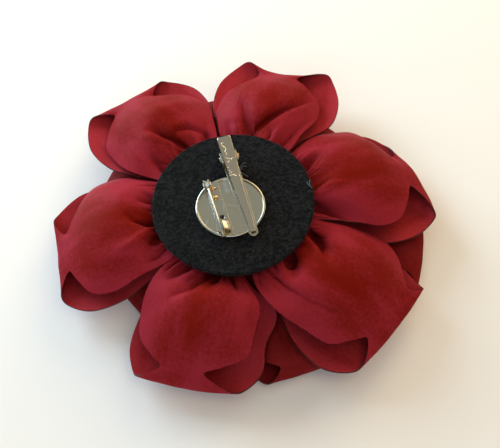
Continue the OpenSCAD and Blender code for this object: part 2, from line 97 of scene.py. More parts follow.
class Wire:
    """A shader socket on which Python's operators add Math nodes."""

    def __init__(self, graph: "Graph", socket: bpy.types.NodeSocket) -> None:
        """Keeps the socket and the graph that it belongs to."""
        self.graph = graph
        self.socket = socket

    def __add__(self, other: "Wire | float") -> "Wire":
        """Adds."""
        return self.graph.math("ADD", self, other)

    def __radd__(self, other: float) -> "Wire":
        """Adds, with the number on the left."""
        return self.graph.math("ADD", other, self)

    def __sub__(self, other: "Wire | float") -> "Wire":
        """Subtracts."""
        return self.graph.math("SUBTRACT", self, other)

    def __rsub__(self, other: float) -> "Wire":
        """Subtracts from a number."""
        return self.graph.math("SUBTRACT", other, self)

    def __mul__(self, other: "Wire | float") -> "Wire":
        """Multiplies."""
        return self.graph.math("MULTIPLY", self, other)

    def __rmul__(self, other: float) -> "Wire":
        """Multiplies, with the number on the left."""
        return self.graph.math("MULTIPLY", other, self)

    def __abs__(self) -> "Wire":
        """Drops the sign."""
        return self.graph.math("ABSOLUTE", self)

    def clamp(self) -> "Wire":
        """Keeps the value from 0 to 1."""
        return self.graph.math("MAXIMUM", self.graph.math("MINIMUM", self, 1.0), 0.0)

    def sine(self) -> "Wire":
        """Takes the sine."""
        return self.graph.math("SINE", self)


class Graph:
    """The node tree of one material."""

    def __init__(self, name: str) -> None:
        """Starts an empty material.

        Args:
            name: the material's name.
        """
        self.material = bpy.data.materials.new(name)
        self.material.use_nodes = True
        self.tree = self.material.node_tree
        self.tree.nodes.clear()

    def node(self, kind: str, settings: dict | None = None, sockets: dict | None = None) -> bpy.types.Node:
        """Adds a node.

        Args:
            kind: the node's type name.
            settings: its own properties, set first, such as a Math node's operation.
            sockets: what goes into its inputs, a value or a Wire, by name or number. None leaves
                an input as it is.

        Returns:
            The new node.
        """
        made = self.tree.nodes.new(kind)
        for key, value in (settings or {}).items():
            setattr(made, key, value)
        for key, value in (sockets or {}).items():
            if isinstance(value, Wire):
                self.tree.links.new(value.socket, made.inputs[key])
            elif value is not None:
                made.inputs[key].default_value = value
        return made

    def wire(self, node: bpy.types.Node, output: str | int = 0) -> Wire:
        """Wraps one output of a node."""
        return Wire(self, node.outputs[output])

    def math(self, operation: str, a: "Wire | float", b: "Wire | float | None" = None) -> Wire:
        """Adds a Math node for an operator."""
        return self.wire(self.node("ShaderNodeMath", {"operation": operation}, {0: a, 1: b}))

    def mix(self, factor: "Wire | float", a: "Wire | Colour", b: "Wire | Colour") -> Wire:
        """Mixes two colours.

        Args:
            factor: 0 gives a, 1 gives b.
            a: the first colour.
            b: the second colour.

        Returns:
            The mixed colour.
        """
        first, second = (c if isinstance(c, Wire) else (*c, 1.0) for c in (a, b))
        made = self.node(
            "ShaderNodeMix",
            {"data_type": "RGBA", "clamp_factor": True},
            {MIX_FACTOR: factor, MIX_FIRST: first, MIX_SECOND: second},
        )
        return self.wire(made, MIX_RESULT)

    def place(self, output: str = "Object") -> Wire:
        """The surface's own coordinates, or with "UV" the cloth's flat layout."""
        return self.wire(self.node("ShaderNodeTexCoord"), output)

    def stretched(self, place: Wire, scale: Sequence[float], turn: float = 0.0) -> Wire:
        """Turns coordinates about Z by an angle in degrees, then scales them."""
        sockets = {"Vector": place, "Angle": math.radians(turn)}
        turned = self.node("ShaderNodeVectorRotate", {"rotation_type": "Z_AXIS"}, sockets)
        scaled = self.node(
            "ShaderNodeVectorMath", {"operation": "MULTIPLY"}, {0: self.wire(turned), 1: tuple(scale)}
        )
        return self.wire(scaled)

    def noise(self, place: Wire, scale: float, detail: float = 2.0, rough: float = 0.5) -> Wire:
        """Smooth noise from 0 to 1, with its scale in features per metre or unit of layout."""
        sockets = {"Vector": place, "Scale": scale, "Detail": detail, "Roughness": rough}
        return self.wire(self.node("ShaderNodeTexNoise", None, sockets), "Fac")

    def ramp(self, value: Wire, low: float, high: float) -> Wire:
        """Stretches a value so that low gives 0 and high gives 1, with soft ends."""
        made = self.node(
            "ShaderNodeMapRange",
            {"interpolation_type": "SMOOTHSTEP"},
            {"Value": value, "From Min": low, "From Max": high, "To Min": 0.0, "To Max": 1.0},
        )
        return self.wire(made)

    def axis(self, vector: Wire, name: str) -> Wire:
        """One axis of a vector."""
        return self.wire(self.node("ShaderNodeSeparateXYZ", None, {"Vector": vector}), name)

    def distance(self, vector: Wire, point: Sequence[float]) -> Wire:
        """How far a place is from a point, in metres."""
        made = self.node("ShaderNodeVectorMath", {"operation": "DISTANCE"}, {0: vector, 1: tuple(point)})
        return self.wire(made, "Value")

    def bump(self, height: Wire, depth: float, strength: float = 1.0, normal: Wire | None = None) -> Wire:
        """Turns a height from 0 to 1 into a normal.

        Args:
            height: the relief.
            depth: how deep the relief is, in metres.
            strength: how much of it shows.
            normal: the normal under it, if another bump comes first.

        Returns:
            The bumped normal.
        """
        sockets = {"Height": height, "Distance": depth, "Strength": strength, "Normal": normal}
        return self.wire(self.node("ShaderNodeBump", None, sockets))

    def surface(self, **sockets: "Wire | float | tuple") -> bpy.types.Material:
        """Ends the material in one Principled shader.

        Args:
            sockets: the shader's inputs, with underscores for the spaces in their names.

        Returns:
            The finished material.
        """
        named = {key.replace("_", " "): value for key, value in sockets.items()}
        shader = self.node("ShaderNodeBsdfPrincipled", None, named)
        self.node("ShaderNodeOutputMaterial", None, {"Surface": self.wire(shader)})
        return self.material


def toned(tint: Colour, share: float) -> Colour:
    """A colour made darker or, with a share over 1, brighter."""
    return tuple(share * c for c in tint)


def metres(place: Place3) -> Place3:
    """A place in mm as one in metres."""
    return tuple(value * MM for value in place)


@dataclass(frozen=True)
class Satin:
    """Deep crimson satin with soft lighter clouds, with painted sheen that makes it pinker towards its
    sides and tip, and with a dark singed edge band that is partly real singeing and partly a painted shadow
    line.

    A sheet with such sides holds each point's distance from its cut edge, in mm, as "edge"; the painted
    sheen follows it. Painted shade darkens creases and pockets; its reach in mm is how near other cloth has
    to be.
    """

    name: str
    shade: Colour = (0.185, 0.0085, 0.0042)
    light: Colour = (0.290, 0.0200, 0.0320)
    singed: Colour = (0.030, 0.0035, 0.0030)
    crease_shade: Colour = (0.060, 0.0030, 0.0018)
    shade_reach_mm: float = 4.5
    weave_mm: float = 0.7
    has_sides: bool = True

    # How much clouds, streaks and grain make up the pattern, how much painted sheen makes the cloth
    # pinker towards its sides for each mm, and how much painted shade darkens a crease.
    CLOUDS = 0.65
    STREAKS = 0.10
    GRAIN = 0.25
    PAINTED_SHEEN = 0.012
    CREASE_SHADE = 0.85
    OPEN_AIR_SAMPLES = 8
    THREADS_IN_REPEAT = 10

    def build(self) -> bpy.types.Material:
        """Makes the material.

        Returns:
            Satin with a fine weave, clouds along the cloth, painted sheen towards its sides, painted shade
            in its creases and pockets, and a red gloss.
        """
        g = Graph(self.name)
        place = g.place()
        flat = g.place("UV")
        clouds = g.noise(g.stretched(flat, (1.0, 0.35, 1.0)), scale=9.0, rough=0.45)
        streaks = g.noise(g.stretched(flat, (1.0, 0.10, 1.0)), scale=90.0, rough=0.6)
        grain = g.noise(place, scale=800.0, rough=0.6)
        pattern = self.CLOUDS * clouds + self.STREAKS * streaks + self.GRAIN * grain
        if self.has_sides:
            edge = g.wire(g.node("ShaderNodeAttribute", {"attribute_name": "edge"}), "Fac")
            # Painted sheen: the cloth turns lighter and pinker towards its cut edges and the tip's fold,
            # darker in the middle.
            colour = g.mix(g.ramp(pattern - self.PAINTED_SHEEN * edge, 0.22, 0.52), self.shade, self.light)
            # A dark band along the cut edge: partly singed cloth, partly a painted shadow line.
            singed_and_shadow_band = 1.0 - g.ramp(edge + 0.5 * grain, 0.28, 0.58)
            uneven = (0.2 + g.ramp(g.noise(place, scale=45.0), 0.4, 0.65)).clamp()
            colour = g.mix(singed_and_shadow_band * uneven, colour, self.singed)
        else:
            colour = g.mix(g.ramp(pattern, 0.36, 0.64), self.shade, self.light)
        # Painted shade: the cloth turns darker wherever other cloth is near, in creases and pockets.
        settings, sockets = {"samples": self.OPEN_AIR_SAMPLES}, {"Distance": self.shade_reach_mm * MM}
        open_air = g.wire(g.node("ShaderNodeAmbientOcclusion", settings, sockets), "AO")
        painted_shade = 1.0 - g.ramp(open_air, 0.20, 0.85)
        colour = g.mix(self.CREASE_SHADE * painted_shade, colour, self.crease_shade)
        turns = 2 * math.pi / (self.weave_mm * MM * self.THREADS_IN_REPEAT)
        warp = (g.axis(flat, "X") * turns).sine()
        weft = (g.axis(flat, "Y") * turns).sine()
        threads = warp * weft * 0.5 + 0.5 * streaks + grain
        crumple = g.bump(g.noise(place, scale=170.0), depth=0.0004, strength=0.3)
        normal = g.bump(threads, depth=0.00006, strength=0.5, normal=crumple)
        return g.surface(
            Base_Color=colour,
            Roughness=0.44 + 0.12 * streaks,
            Normal=normal,
            IOR=1.3,
            Specular_IOR_Level=0.05,
            Specular_Tint=(1.0, 0.15, 0.32, 1.0),
            Sheen_Weight=0.02,
            Sheen_Roughness=0.35,
            Sheen_Tint=(1.0, 0.30, 0.45, 1.0),
        )


@dataclass(frozen=True)
class SingedEdge:
    """The cut edge of the satin, which a flame has sealed: dark, hard and a little glossy."""

    name: str
    tint: Colour = (0.050, 0.0050, 0.0042)

    def build(self) -> bpy.types.Material:
        """Makes the material."""
        g = Graph(self.name)
        beads = g.noise(g.place(), scale=1500.0, rough=0.6)
        colour = g.mix(g.ramp(beads, 0.45, 0.75), self.tint, toned(self.tint, 2.5))
        return g.surface(Base_Color=colour, Roughness=0.35 + 0.2 * beads, Specular_IOR_Level=0.3)


@dataclass(frozen=True)
class Felt:
    """Matt pressed felt with matted fibres."""

    name: str
    dark: Colour = (0.0006, 0.0007, 0.0008)
    light: Colour = (0.0100, 0.0105, 0.0110)
    fibre: Colour = (0.030, 0.031, 0.032)

    # How much matted lumps and clouds make up the pattern, and how much the specks of fibre show.
    MATTED = 0.8
    CLOUDED = 0.2
    SPECKLED = 0.7

    def build(self) -> bpy.types.Material:
        """Makes the material.

        Returns:
            Felt with clouds, matted lumps and pale specks of fibre.
        """
        g = Graph(self.name)
        place = g.place()
        clouds = g.noise(place, scale=170.0, detail=3.0, rough=0.6)
        mat = g.noise(place, scale=620.0, detail=4.0, rough=0.7)
        specks = g.ramp(g.noise(place, scale=1000.0, rough=0.6), 0.56, 0.72)
        pattern = mat * self.MATTED + clouds * self.CLOUDED
        colour = g.mix(g.ramp(pattern, 0.42, 0.60), self.dark, self.light)
        colour = g.mix(specks * self.SPECKLED, colour, self.fibre)
        lumps = g.bump(clouds, depth=0.0006, strength=0.4)
        normal = g.bump(mat, depth=0.0012, normal=lumps)
        return g.surface(
            Base_Color=colour,
            Roughness=0.9 + 0.1 * mat,
            Normal=normal,
            Specular_IOR_Level=0.12,
            Sheen_Weight=0.03,
            Sheen_Roughness=0.6,
            Sheen_Tint=(0.62, 0.72, 0.82, 1.0),
        )


@dataclass(frozen=True)
class Stain:
    """A round patch on the plating, such as a thin spot or a spot of painted shade: its middle and radius
    in mm.
    """

    place: Place3
    radius: float


@dataclass(frozen=True)
class Scratch:
    """A straight scratch: its middle and length in mm, and its way in degrees from the X axis."""

    place: Place3
    way: float
    length: float


@dataclass(frozen=True)
class Plating:
    """Nickel plate with smudges, scratches, worn rounded edges and spots of painted shade."""

    name: str
    tint: Colour = (0.450, 0.440, 0.368)
    worn: Colour = (0.74, 0.52, 0.26)
    hole_shade: Colour = (0.03, 0.028, 0.025)
    haze: Colour = (0.60, 0.72, 0.82)
    roughness: float = 0.17
    edge: float = 0.3
    stains: tuple[Stain, ...] = ()
    shade_spots: tuple[Stain, ...] = ()
    smears: tuple[Stain, ...] = ()
    scratches: tuple[Scratch, ...] = ()

    # How much of the smudges, smears and scratches shows, how far from its middle line a scratch
    # starts and ends to fade, in mm, and how far out a patch starts to, as a share of its radius.
    SMUDGED = 0.16
    SMEARED = 0.6
    SCRATCHED = 0.5
    SCRATCH_FADE = (0.05, 0.2)
    PATCH_FADE = 0.45
    BEVEL_SAMPLES = 6

    def build(self) -> bpy.types.Material:
        """Makes the material.

        Returns:
            Polished metal with scratches in two directions and edges that catch the light.
        """
        g = Graph(self.name)
        place = g.place()
        smudge = g.noise(place, scale=130.0)
        lines = self.fine_lines(g, place)
        rough = (self.roughness + 0.08 * g.ramp(smudge, 0.35, 0.8) + 0.08 * lines).clamp()
        settings, sockets = {"samples": self.BEVEL_SAMPLES}, {"Radius": self.edge * MM}
        rounded = g.wire(g.node("ShaderNodeBevel", settings, sockets))
        waves = g.bump(g.noise(place, scale=90.0, detail=1.0), depth=0.00012, strength=0.3, normal=rounded)
        normal = g.bump(lines, depth=0.000015, strength=0.35, normal=waves)
        colour = self.marked_colour(g, place, smudge)
        return g.surface(Base_Color=colour, Metallic=1.0, Roughness=rough, Normal=normal)

    def marked_colour(self, g: Graph, place: Wire, smudge: Wire) -> Wire:
        """The plating's colour with all its marks.

        Args:
            g: the material's graph.
            place: the surface's own coordinates.
            smudge: the noise that the smudges follow.

        Returns:
            The colour.
        """
        colour = g.mix(g.ramp(smudge, 0.4, 0.75) * self.SMUDGED, self.tint, toned(self.tint, 0.72))
        if self.stains:
            patch = self.patches(g, place, self.stains)
            colour = g.mix((patch * (0.6 + 0.6 * smudge)).clamp(), colour, self.worn)
        # Painted shade: dark spots where a hole in the metal lies in shadow.
        if self.shade_spots:
            colour = g.mix(self.patches(g, place, self.shade_spots).clamp(), colour, self.hole_shade)
        if self.smears:
            wiped = g.stretched(place, (1.0, 0.25, 1.0), turn=-9.0)
            streak = g.ramp(g.noise(wiped, scale=2200.0), 0.3, 0.7)
            smear = self.patches(g, place, self.smears) * (0.25 + 0.5 * streak)
            colour = g.mix(self.SMEARED * smear.clamp(), colour, self.haze)
        for scratch in self.scratches:
            colour = g.mix(self.SCRATCHED * self.mark(g, place, scratch), colour, self.haze)
        return colour

    def fine_lines(self, g: Graph, place: Wire) -> Wire:
        """Fine scratches in two directions, where the plating has been rubbed.

        Args:
            g: the material's graph.
            place: the surface's own coordinates.

        Returns:
            1 in a line, 0 between them, and more where two cross.
        """
        fine = g.noise(g.stretched(place, (1.0, 0.05, 0.4), turn=-12.0), scale=3000.0, detail=1.0)
        cross = g.noise(g.stretched(place, (0.06, 1.0, 0.4), turn=8.0), scale=3600.0, detail=1.0)
        rubbed = g.ramp(g.noise(place, scale=210.0, detail=1.0), 0.5, 0.7)
        return (g.ramp(fine, 0.70, 0.8) + g.ramp(cross, 0.72, 0.82)) * rubbed

    def mark(self, g: Graph, place: Wire, scratch: Scratch) -> Wire:
        """How much of a scratch lies at each place.

        Args:
            g: the material's graph.
            place: the surface's own coordinates.
            scratch: the scratch.

        Returns:
            1 in the scratch and 0 beside it.
        """
        sockets = {0: place, 1: metres(scratch.place)}
        moved = g.wire(g.node("ShaderNodeVectorMath", {"operation": "SUBTRACT"}, sockets))
        turned = g.stretched(moved, (1.0, 1.0, 1.0), turn=-scratch.way)
        along, across = abs(g.axis(turned, "X")), abs(g.axis(turned, "Y"))
        core, rim = self.SCRATCH_FADE
        thin = 1.0 - g.ramp(across, core * MM, rim * MM)
        length = scratch.length * MM
        return thin * (1.0 - g.ramp(along, 0.3 * length, 0.5 * length))

    def patches(self, g: Graph, place: Wire, stains: tuple[Stain, ...]) -> Wire:
        """How much of a patch lies at each place.

        Args:
            g: the material's graph.
            place: the surface's own coordinates.
            stains: the patches.

        Returns:
            1 in a patch, 0 outside, and more where patches overlap.
        """
        covered: Wire | float = 0.0
        for stain in stains:
            radius = stain.radius * MM
            away = g.distance(place, metres(stain.place))
            covered = 1.0 - g.ramp(away, radius * self.PATCH_FADE, radius) + covered
        return covered


@dataclass(frozen=True)
class Solder:
    """A bead of gold-toned solder."""

    name: str
    tint: Colour = (0.80, 0.50, 0.20)

    def build(self) -> bpy.types.Material:
        """Makes the material."""
        g = Graph(self.name)
        lumps = g.noise(g.place(), scale=900.0, detail=3.0, rough=0.6)
        return g.surface(
            Base_Color=g.mix(g.ramp(lumps, 0.35, 0.7), self.tint, toned(self.tint, 0.4)),
            Metallic=1.0,
            Roughness=0.16 + 0.3 * lumps,
            Normal=g.bump(lumps, depth=0.0002, strength=0.6),
        )


@dataclass(frozen=True)
class Fibre:
    """Loose fibres of felt and thread."""

    name: str
    tint: Colour = (0.03, 0.03, 0.033)

    def build(self) -> bpy.types.Material:
        """Makes the material."""
        g = Graph(self.name)
        along = g.noise(g.place(), scale=2200.0, rough=0.6)
        colour = g.mix(along, self.tint, toned(self.tint, 1.8))
        return g.surface(Base_Color=colour, Roughness=0.75 + 0.2 * along, Specular_IOR_Level=0.3)


@dataclass(frozen=True)
class Floor:
    """Pale matt table top."""

    name: str
    tint: Colour = (0.93, 0.92, 0.90)

    def build(self) -> bpy.types.Material:
        """Makes the material."""
        g = Graph(self.name)
        specks = g.noise(g.place(), scale=60.0, detail=4.0, rough=0.6)
        colour = g.mix(specks * 0.12, self.tint, toned(self.tint, 0.93))
        return g.surface(Base_Color=colour, Roughness=0.62 + 0.1 * specks, Specular_IOR_Level=0.3)


class Cloth(Enum):
    """The satins of the flower: its outer and second row, their reverse sides, and the middle. The outer
    reverse is made lighter, as painted light on the pocket sides that lie in shadow.
    """

    OUTER = Satin("satin_outer")
    UNDER = Satin("satin_under", shade=(0.13, 0.0070, 0.0060), light=(0.20, 0.0140, 0.0150))
    # Painted light: the outer reverse is lighter than the face, for the pocket sides that lie in the back
    # layer's shadow.
    OUTER_REVERSE_LIT = Satin("satin_reverse_painted_light", shade=(0.26, 0.0135, 0.0130), light=(0.37, 0.0290, 0.0400))
    UNDER_REVERSE = replace(UNDER, name="satin_under_reverse")
    INNER = Satin("satin_inner", has_sides=False)


def mesh_object(
    name: str,
    points: np.ndarray,
    faces: np.ndarray,
    uv: np.ndarray | None = None,
    edge: np.ndarray | None = None,
) -> bpy.types.Object:
    """Makes a smooth mesh object.

    Args:
        name: the object's name.
        points: corners in millimetres, one a row.
        faces: corner numbers, one face a row.
        uv: flat place of each corner.
        edge: distance of each corner from the sheet's cut edge, in millimetres.

    Returns:
        The object, linked to the scene.
    """
    mesh = bpy.data.meshes.new(name)
    mesh.from_pydata((points * MM).tolist(), [], faces.tolist())
    mesh.polygons.foreach_set("use_smooth", np.ones(len(mesh.polygons), bool))
    if uv is not None:
        layer = mesh.uv_layers.new(name="flat")
        loops = np.zeros(len(mesh.loops), np.int32)
        mesh.loops.foreach_get("vertex_index", loops)
        layer.data.foreach_set("uv", uv[loops].astype(np.float32).ravel())
    if edge is not None:
        mesh.attributes.new("edge", "FLOAT", "POINT").data.foreach_set("value", edge.astype(np.float32))
    mesh.update()
    made = bpy.data.objects.new(name, mesh)
    bpy.context.scene.collection.objects.link(made)
    return made


def grid_faces(rows: int, columns: int, closed: bool = False) -> np.ndarray:
    """Four-cornered faces of a grid of points.

    Args:
        rows: number of rows.
        columns: number of points in a row.
        closed: whether the last column joins the first.

    Returns:
        Corner numbers, one face a row.
    """
    i, j = np.meshgrid(np.arange(rows - 1), np.arange(columns if closed else columns - 1), indexing="ij")
    k = (j + 1) % columns
    corners = (i * columns + j, i * columns + k, (i + 1) * columns + k, (i + 1) * columns + j)
    return np.stack([c.ravel() for c in corners], 1)


def grid_normals(points: np.ndarray) -> np.ndarray:
    """The direction that a sheet faces at each point of its grid."""
    along = np.gradient(points, axis=0)
    across = np.gradient(points, axis=1)
    normal = np.cross(along, across)
    return normal / np.maximum(np.linalg.norm(normal, axis=2, keepdims=True), LEAST)


def point_rows(x: np.ndarray, y: np.ndarray, z: np.ndarray) -> np.ndarray:
    """Grids of the three coordinates as one row a point."""
    return np.stack(np.broadcast_arrays(x, y, z), -1).reshape(-1, 3)


def flat_layout(across: np.ndarray, along: np.ndarray) -> np.ndarray:
    """Flat place of each point, from how far across and along the cloth it lies, in mm."""
    return np.stack(np.broadcast_arrays(across, along), -1).reshape(-1, 2) * LAYOUT_SCALE


def turned_out(u: np.ndarray, v: np.ndarray, turn: float) -> tuple[np.ndarray, np.ndarray]:
    """Turns a petal about the felt's middle.

    Args:
        u: distances from the felt's middle, in mm.
        v: distances to the left of the petal's middle line.
        turn: the petal's way, in degrees from the X axis.

    Returns:
        The X and Y coordinates.
    """
    a = math.radians(turn)
    x = u * math.cos(a) - v * math.sin(a) + FELT_MIDDLE[0]
    y = u * math.sin(a) + v * math.cos(a) + FELT_MIDDLE[1]
    return x, y


def round_middle(reach: np.ndarray, angle: np.ndarray) -> tuple[np.ndarray, np.ndarray]:
    """X and Y of points at a reach in mm and an angle in radians from the felt's middle."""
    return reach * np.cos(angle) + FELT_MIDDLE[0], reach * np.sin(angle) + FELT_MIDDLE[1]


def joined(meshes: Iterable[Mesh]) -> Mesh:
    """Joins meshes, each its corners and its faces, into one."""
    corners, faces, count = [], [], 0
    for points, quads in meshes:
        corners.append(points)
        faces.append(quads + count)
        count += len(points)
    return np.concatenate(corners), np.concatenate(faces)


def between(grid: np.ndarray, i: np.ndarray, j: np.ndarray) -> np.ndarray:
    """Points between the points of a grid.

    Args:
        grid: the grid.
        i: rows, where 2.5 is halfway from row 2 to row 3.
        j: columns, in the same way.

    Returns:
        One point for each pair of a row and a column.
    """
    i0 = np.minimum(i.astype(int), grid.shape[0] - 2)
    j0 = np.minimum(j.astype(int), grid.shape[1] - 2)
    fi, fj = (i - i0)[:, None], (j - j0)[:, None]
    return (
        grid[i0, j0] * (1 - fi) * (1 - fj)
        + grid[i0 + 1, j0] * fi * (1 - fj)
        + grid[i0, j0 + 1] * (1 - fi) * fj
        + grid[i0 + 1, j0 + 1] * fi * fj
    )


def smooth_rows(table: np.ndarray, stations: np.ndarray) -> np.ndarray:
    """Rows between the rows of a table, on a smooth curve through them.

    Args:
        table: one row a key section.
        stations: places along the table, where 2.5 is halfway from row 2 to row 3.

    Returns:
        One row a station.
    """
    last = len(table) - 1
    i = np.minimum(stations.astype(int), last - 1)
    f = (stations - i)[:, None]
    a, b = table[np.clip(i - 1, 0, last)], table[i]
    c, d = table[i + 1], table[np.clip(i + 2, 0, last)]
    return 0.5 * (
        2 * b + (c - a) * f + (2 * a - 5 * b + 4 * c - d) * f**2 + (3 * b - a - 3 * c + d) * f**3
    )


def smooth_path(keys: Sequence[Sequence[float]], points: int) -> np.ndarray:
    """A smooth curve through key places, with a number of points for each."""
    return smooth_rows(np.array(keys), np.linspace(0, len(keys) - 1, points * len(keys)))


def tube_mesh(path: np.ndarray, radii: np.ndarray, sides: int) -> Mesh:
    """Sweeps a round tube along a path.

    Args:
        path: points in millimetres.
        radii: the tube's radius at each point.
        sides: number of sides.

    Returns:
        The corners and the faces.
    """
    ahead = np.gradient(path, axis=0)
    ahead /= np.linalg.norm(ahead, axis=1, keepdims=True)
    side = np.cross(ahead, ASKEW)
    side /= np.linalg.norm(side, axis=1, keepdims=True)
    up = np.cross(side, ahead)
    turn = np.linspace(0, 2 * math.pi, sides, endpoint=False)
    ring = side[:, None] * np.cos(turn)[None, :, None] + up[:, None] * np.sin(turn)[None, :, None]
    points = (path[:, None] + ring * radii[:, None, None]).reshape(-1, 3)
    return points, grid_faces(len(path), sides, closed=True)


def thicken(
    piece: bpy.types.Object, thickness: float, rim: Layer = Layer.REVERSE, face: Layer = Layer.REVERSE
) -> None:
    """Gives a sheet its thickness, half to each side.

    Args:
        piece: the sheet.
        thickness: in millimetres.
        rim: the finish on its cut edge.
        face: the finish on its face. Its reverse side has the first.
    """
    solid = piece.modifiers.new("cloth", "SOLIDIFY")
    solid.thickness = thickness * MM
    solid.offset = 0.0
    solid.material_offset_rim = rim
    solid.material_offset = face


def rest_on(piece: bpy.types.Object, body: Body, finish: bpy.types.Material) -> None:
    """Gives a piece its finish and its material slot, and lets it ride on a body."""
    piece.data.materials.clear()
    piece.data.materials.append(finish)
    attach(piece, body.value)


class Column(IntEnum):
    """Columns of a section row.

    RUN is the place from the felt to the tip, and RISE the height between the rim and the sewn end.
    BASE to HEM say how much of each of a side's half widths counts. EDGE is how far the sides lie
    over the middle, in mm, and OPEN how much of the pocket's gape is added. PLEAT is how much of the
    gathers shows, and TURN how much of the tip's skew and bow.
    """

    RUN = 0
    RISE = 1
    BASE = 2
    WAIST = 3
    LOBE = 4
    NOTCH = 5
    CORNER = 6
    FRONT = 7
    HEM = 8
    EDGE = 9
    OPEN = 10
    PLEAT = 11
    TURN = 12


@dataclass(frozen=True)
class Side:
    """One side of a petal: half widths in mm, and how far the pocket gapes there."""

    base: float
    waist: float
    lobe: float
    notch: float
    corner: float
    front: float
    hem: float
    mouth: float

    def half_width(self, rows: np.ndarray) -> np.ndarray:
        """Half width at each section row."""
        sizes = (self.base, self.waist, self.lobe, self.notch, self.corner, self.front, self.hem)
        return rows[:, Column.BASE : Column.EDGE] @ np.array(sizes)


@dataclass(frozen=True)
class Gather:
    """A wide dip that runs out from the felt.

    It goes from one place across the sheet to another, as shares of the half width. Its depth is in
    mm, and its length and width are shares of the petal's reach and half width.
    """

    start: float
    end: float
    depth: float
    length: float
    width: float


@dataclass(frozen=True)
class Fold:
    """A crease in the back layer, deepest at its first place; a depth below zero is a ridge.

    The path holds places as station along the sheet and place across it. Depth and width are in
    mm. A lean of 0.6 makes the left flank gentle and the right one steep. An even fold fades at both
    ends and not only at the last.
    """

    path: tuple[Place, ...]
    depth: float
    width: float
    lean: float = 0.0
    even: bool = False


@dataclass(frozen=True)
class PetalRow:
    """What the petals of one row share: sections, sizes in mm, mesh rings and strips, and cloth."""

    sections: np.ndarray
    start: float
    sewn: float
    thickness: float
    rings: int
    strips: int
    pleats: int
    waves: float
    face: Cloth
    reverse: Cloth


OUTER_SECTIONS = np.array([
    # run, rise, base, waist, lobe, notch, corner, front, hem, edge, open, pleat, turn
    (0.00, 0.94, 0.52, 0, 0, 0, 0, 0, 0, -1.5, 0, 0.8, 0),
    (0.20, 0.89, 1, 0, 0, 0, 0, 0, 0, -3, 0.2, 1, 0),
    (0.42, 1.03, 0, 1, 0, 0, 0, 0, 0, -8, 0.6, 1, 0),
    (0.60, 0.95, 0, 0, 1, 0, 0, 0, 0, -12.5, 1, 0.7, 0),
    (0.75, 0.72, 0, 0, 0.93, 0, 0, 0, 0, -11.5, 1, 0.4, 0),
    (0.85, 0.46, 0, 0, 0.45, 0.45, 0, 0, 0, -7, 0.8, 0.2, 0.2),
    (0.92, 0.26, 0, 0, 0, 1, 0, 0, 0, -3, 0.4, 0, 0.5),
    (1.00, 0.00, 0, 0, 0, 0, 1, 0, 0, 1, 0, 0, 1),
    (0.96, -0.19, 0, 0, 0, 0, 0.5, 0.5, 0, 1.5, 0, 0, 0.7),
    (0.80, -0.23, 0, 0, 0, 0, 0, 1, 0, 3, 0, 0, 0.2),
    (0.60, -0.12, 0, 0, 0, 0, 0, 0.97, 0, 3.5, 0, 0, 0),
    (0.40, 0.12, 0, 0, 0, 0, 0, 0, 1, 2.5, 0, 0, 0),
    (0.20, 0.44, 0.55, 0, 0, 0, 0, 0, 0.28, 1, 0, 0, 0),
    (0.00, 0.66, 0.52, 0, 0, 0, 0, 0, 0, 0, 0, 0, 0),
])
UNDER_SECTIONS = np.array([
    # the same columns
    (0.00, 0.94, 0.55, 0, 0, 0, 0, 0, 0, -1, 0, 0, 0),
    (0.20, 0.80, 1, 0, 0, 0, 0, 0, 0, -2, 0.2, 0, 0),
    (0.42, 0.50, 0, 1, 0, 0, 0, 0, 0, -2.5, 0.3, 0, 0),
    (0.60, 0.36, 0, 0, 1, 0, 0, 0, 0, -4, 0.6, 0, 0),
    (0.75, 0.30, 0, 0, 0.93, 0, 0, 0, 0, -4, 0.8, 0, 0),
    (0.85, 0.24, 0, 0, 0.45, 0.45, 0, 0, 0, -3, 0.8, 0, 0.2),
    (0.92, 0.16, 0, 0, 0, 1, 0, 0, 0, -1.5, 0.4, 0, 0.5),
    (1.00, 0.00, 0, 0, 0, 0, 1, 0, 0, 0.6, 0, 0, 1),
    (0.96, -0.17, 0, 0, 0, 0, 0.5, 0.5, 0, 0.8, 0, 0, 0.7),
    (0.80, -0.24, 0, 0, 0, 0, 0, 1, 0, 1, 0, 0, 0.2),
    (0.60, -0.22, 0, 0, 0, 0, 0, 0.97, 0, 1.2, 0, 0, 0),
    (0.40, 0.10, 0, 0, 0, 0, 0, 0, 1, 1, 0, 0, 0),
    (0.20, 0.36, 0.55, 0, 0, 0, 0, 0, 0.28, 0.6, 0, 0, 0),
    (0.00, 0.50, 0.55, 0, 0, 0, 0, 0, 0, 0, 0, 0, 0),
])
OUTER_ROW = PetalRow(
    OUTER_SECTIONS, start=19.0, sewn=26.0, thickness=0.5, rings=190, strips=131, pleats=11, waves=0.085,
    face=Cloth.OUTER, reverse=Cloth.OUTER_REVERSE_LIT,
)
UNDER_ROW = PetalRow(
    UNDER_SECTIONS, start=16.0, sewn=18.0, thickness=0.5, rings=90, strips=49, pleats=0, waves=0.055,
    face=Cloth.UNDER, reverse=Cloth.UNDER_REVERSE,
)


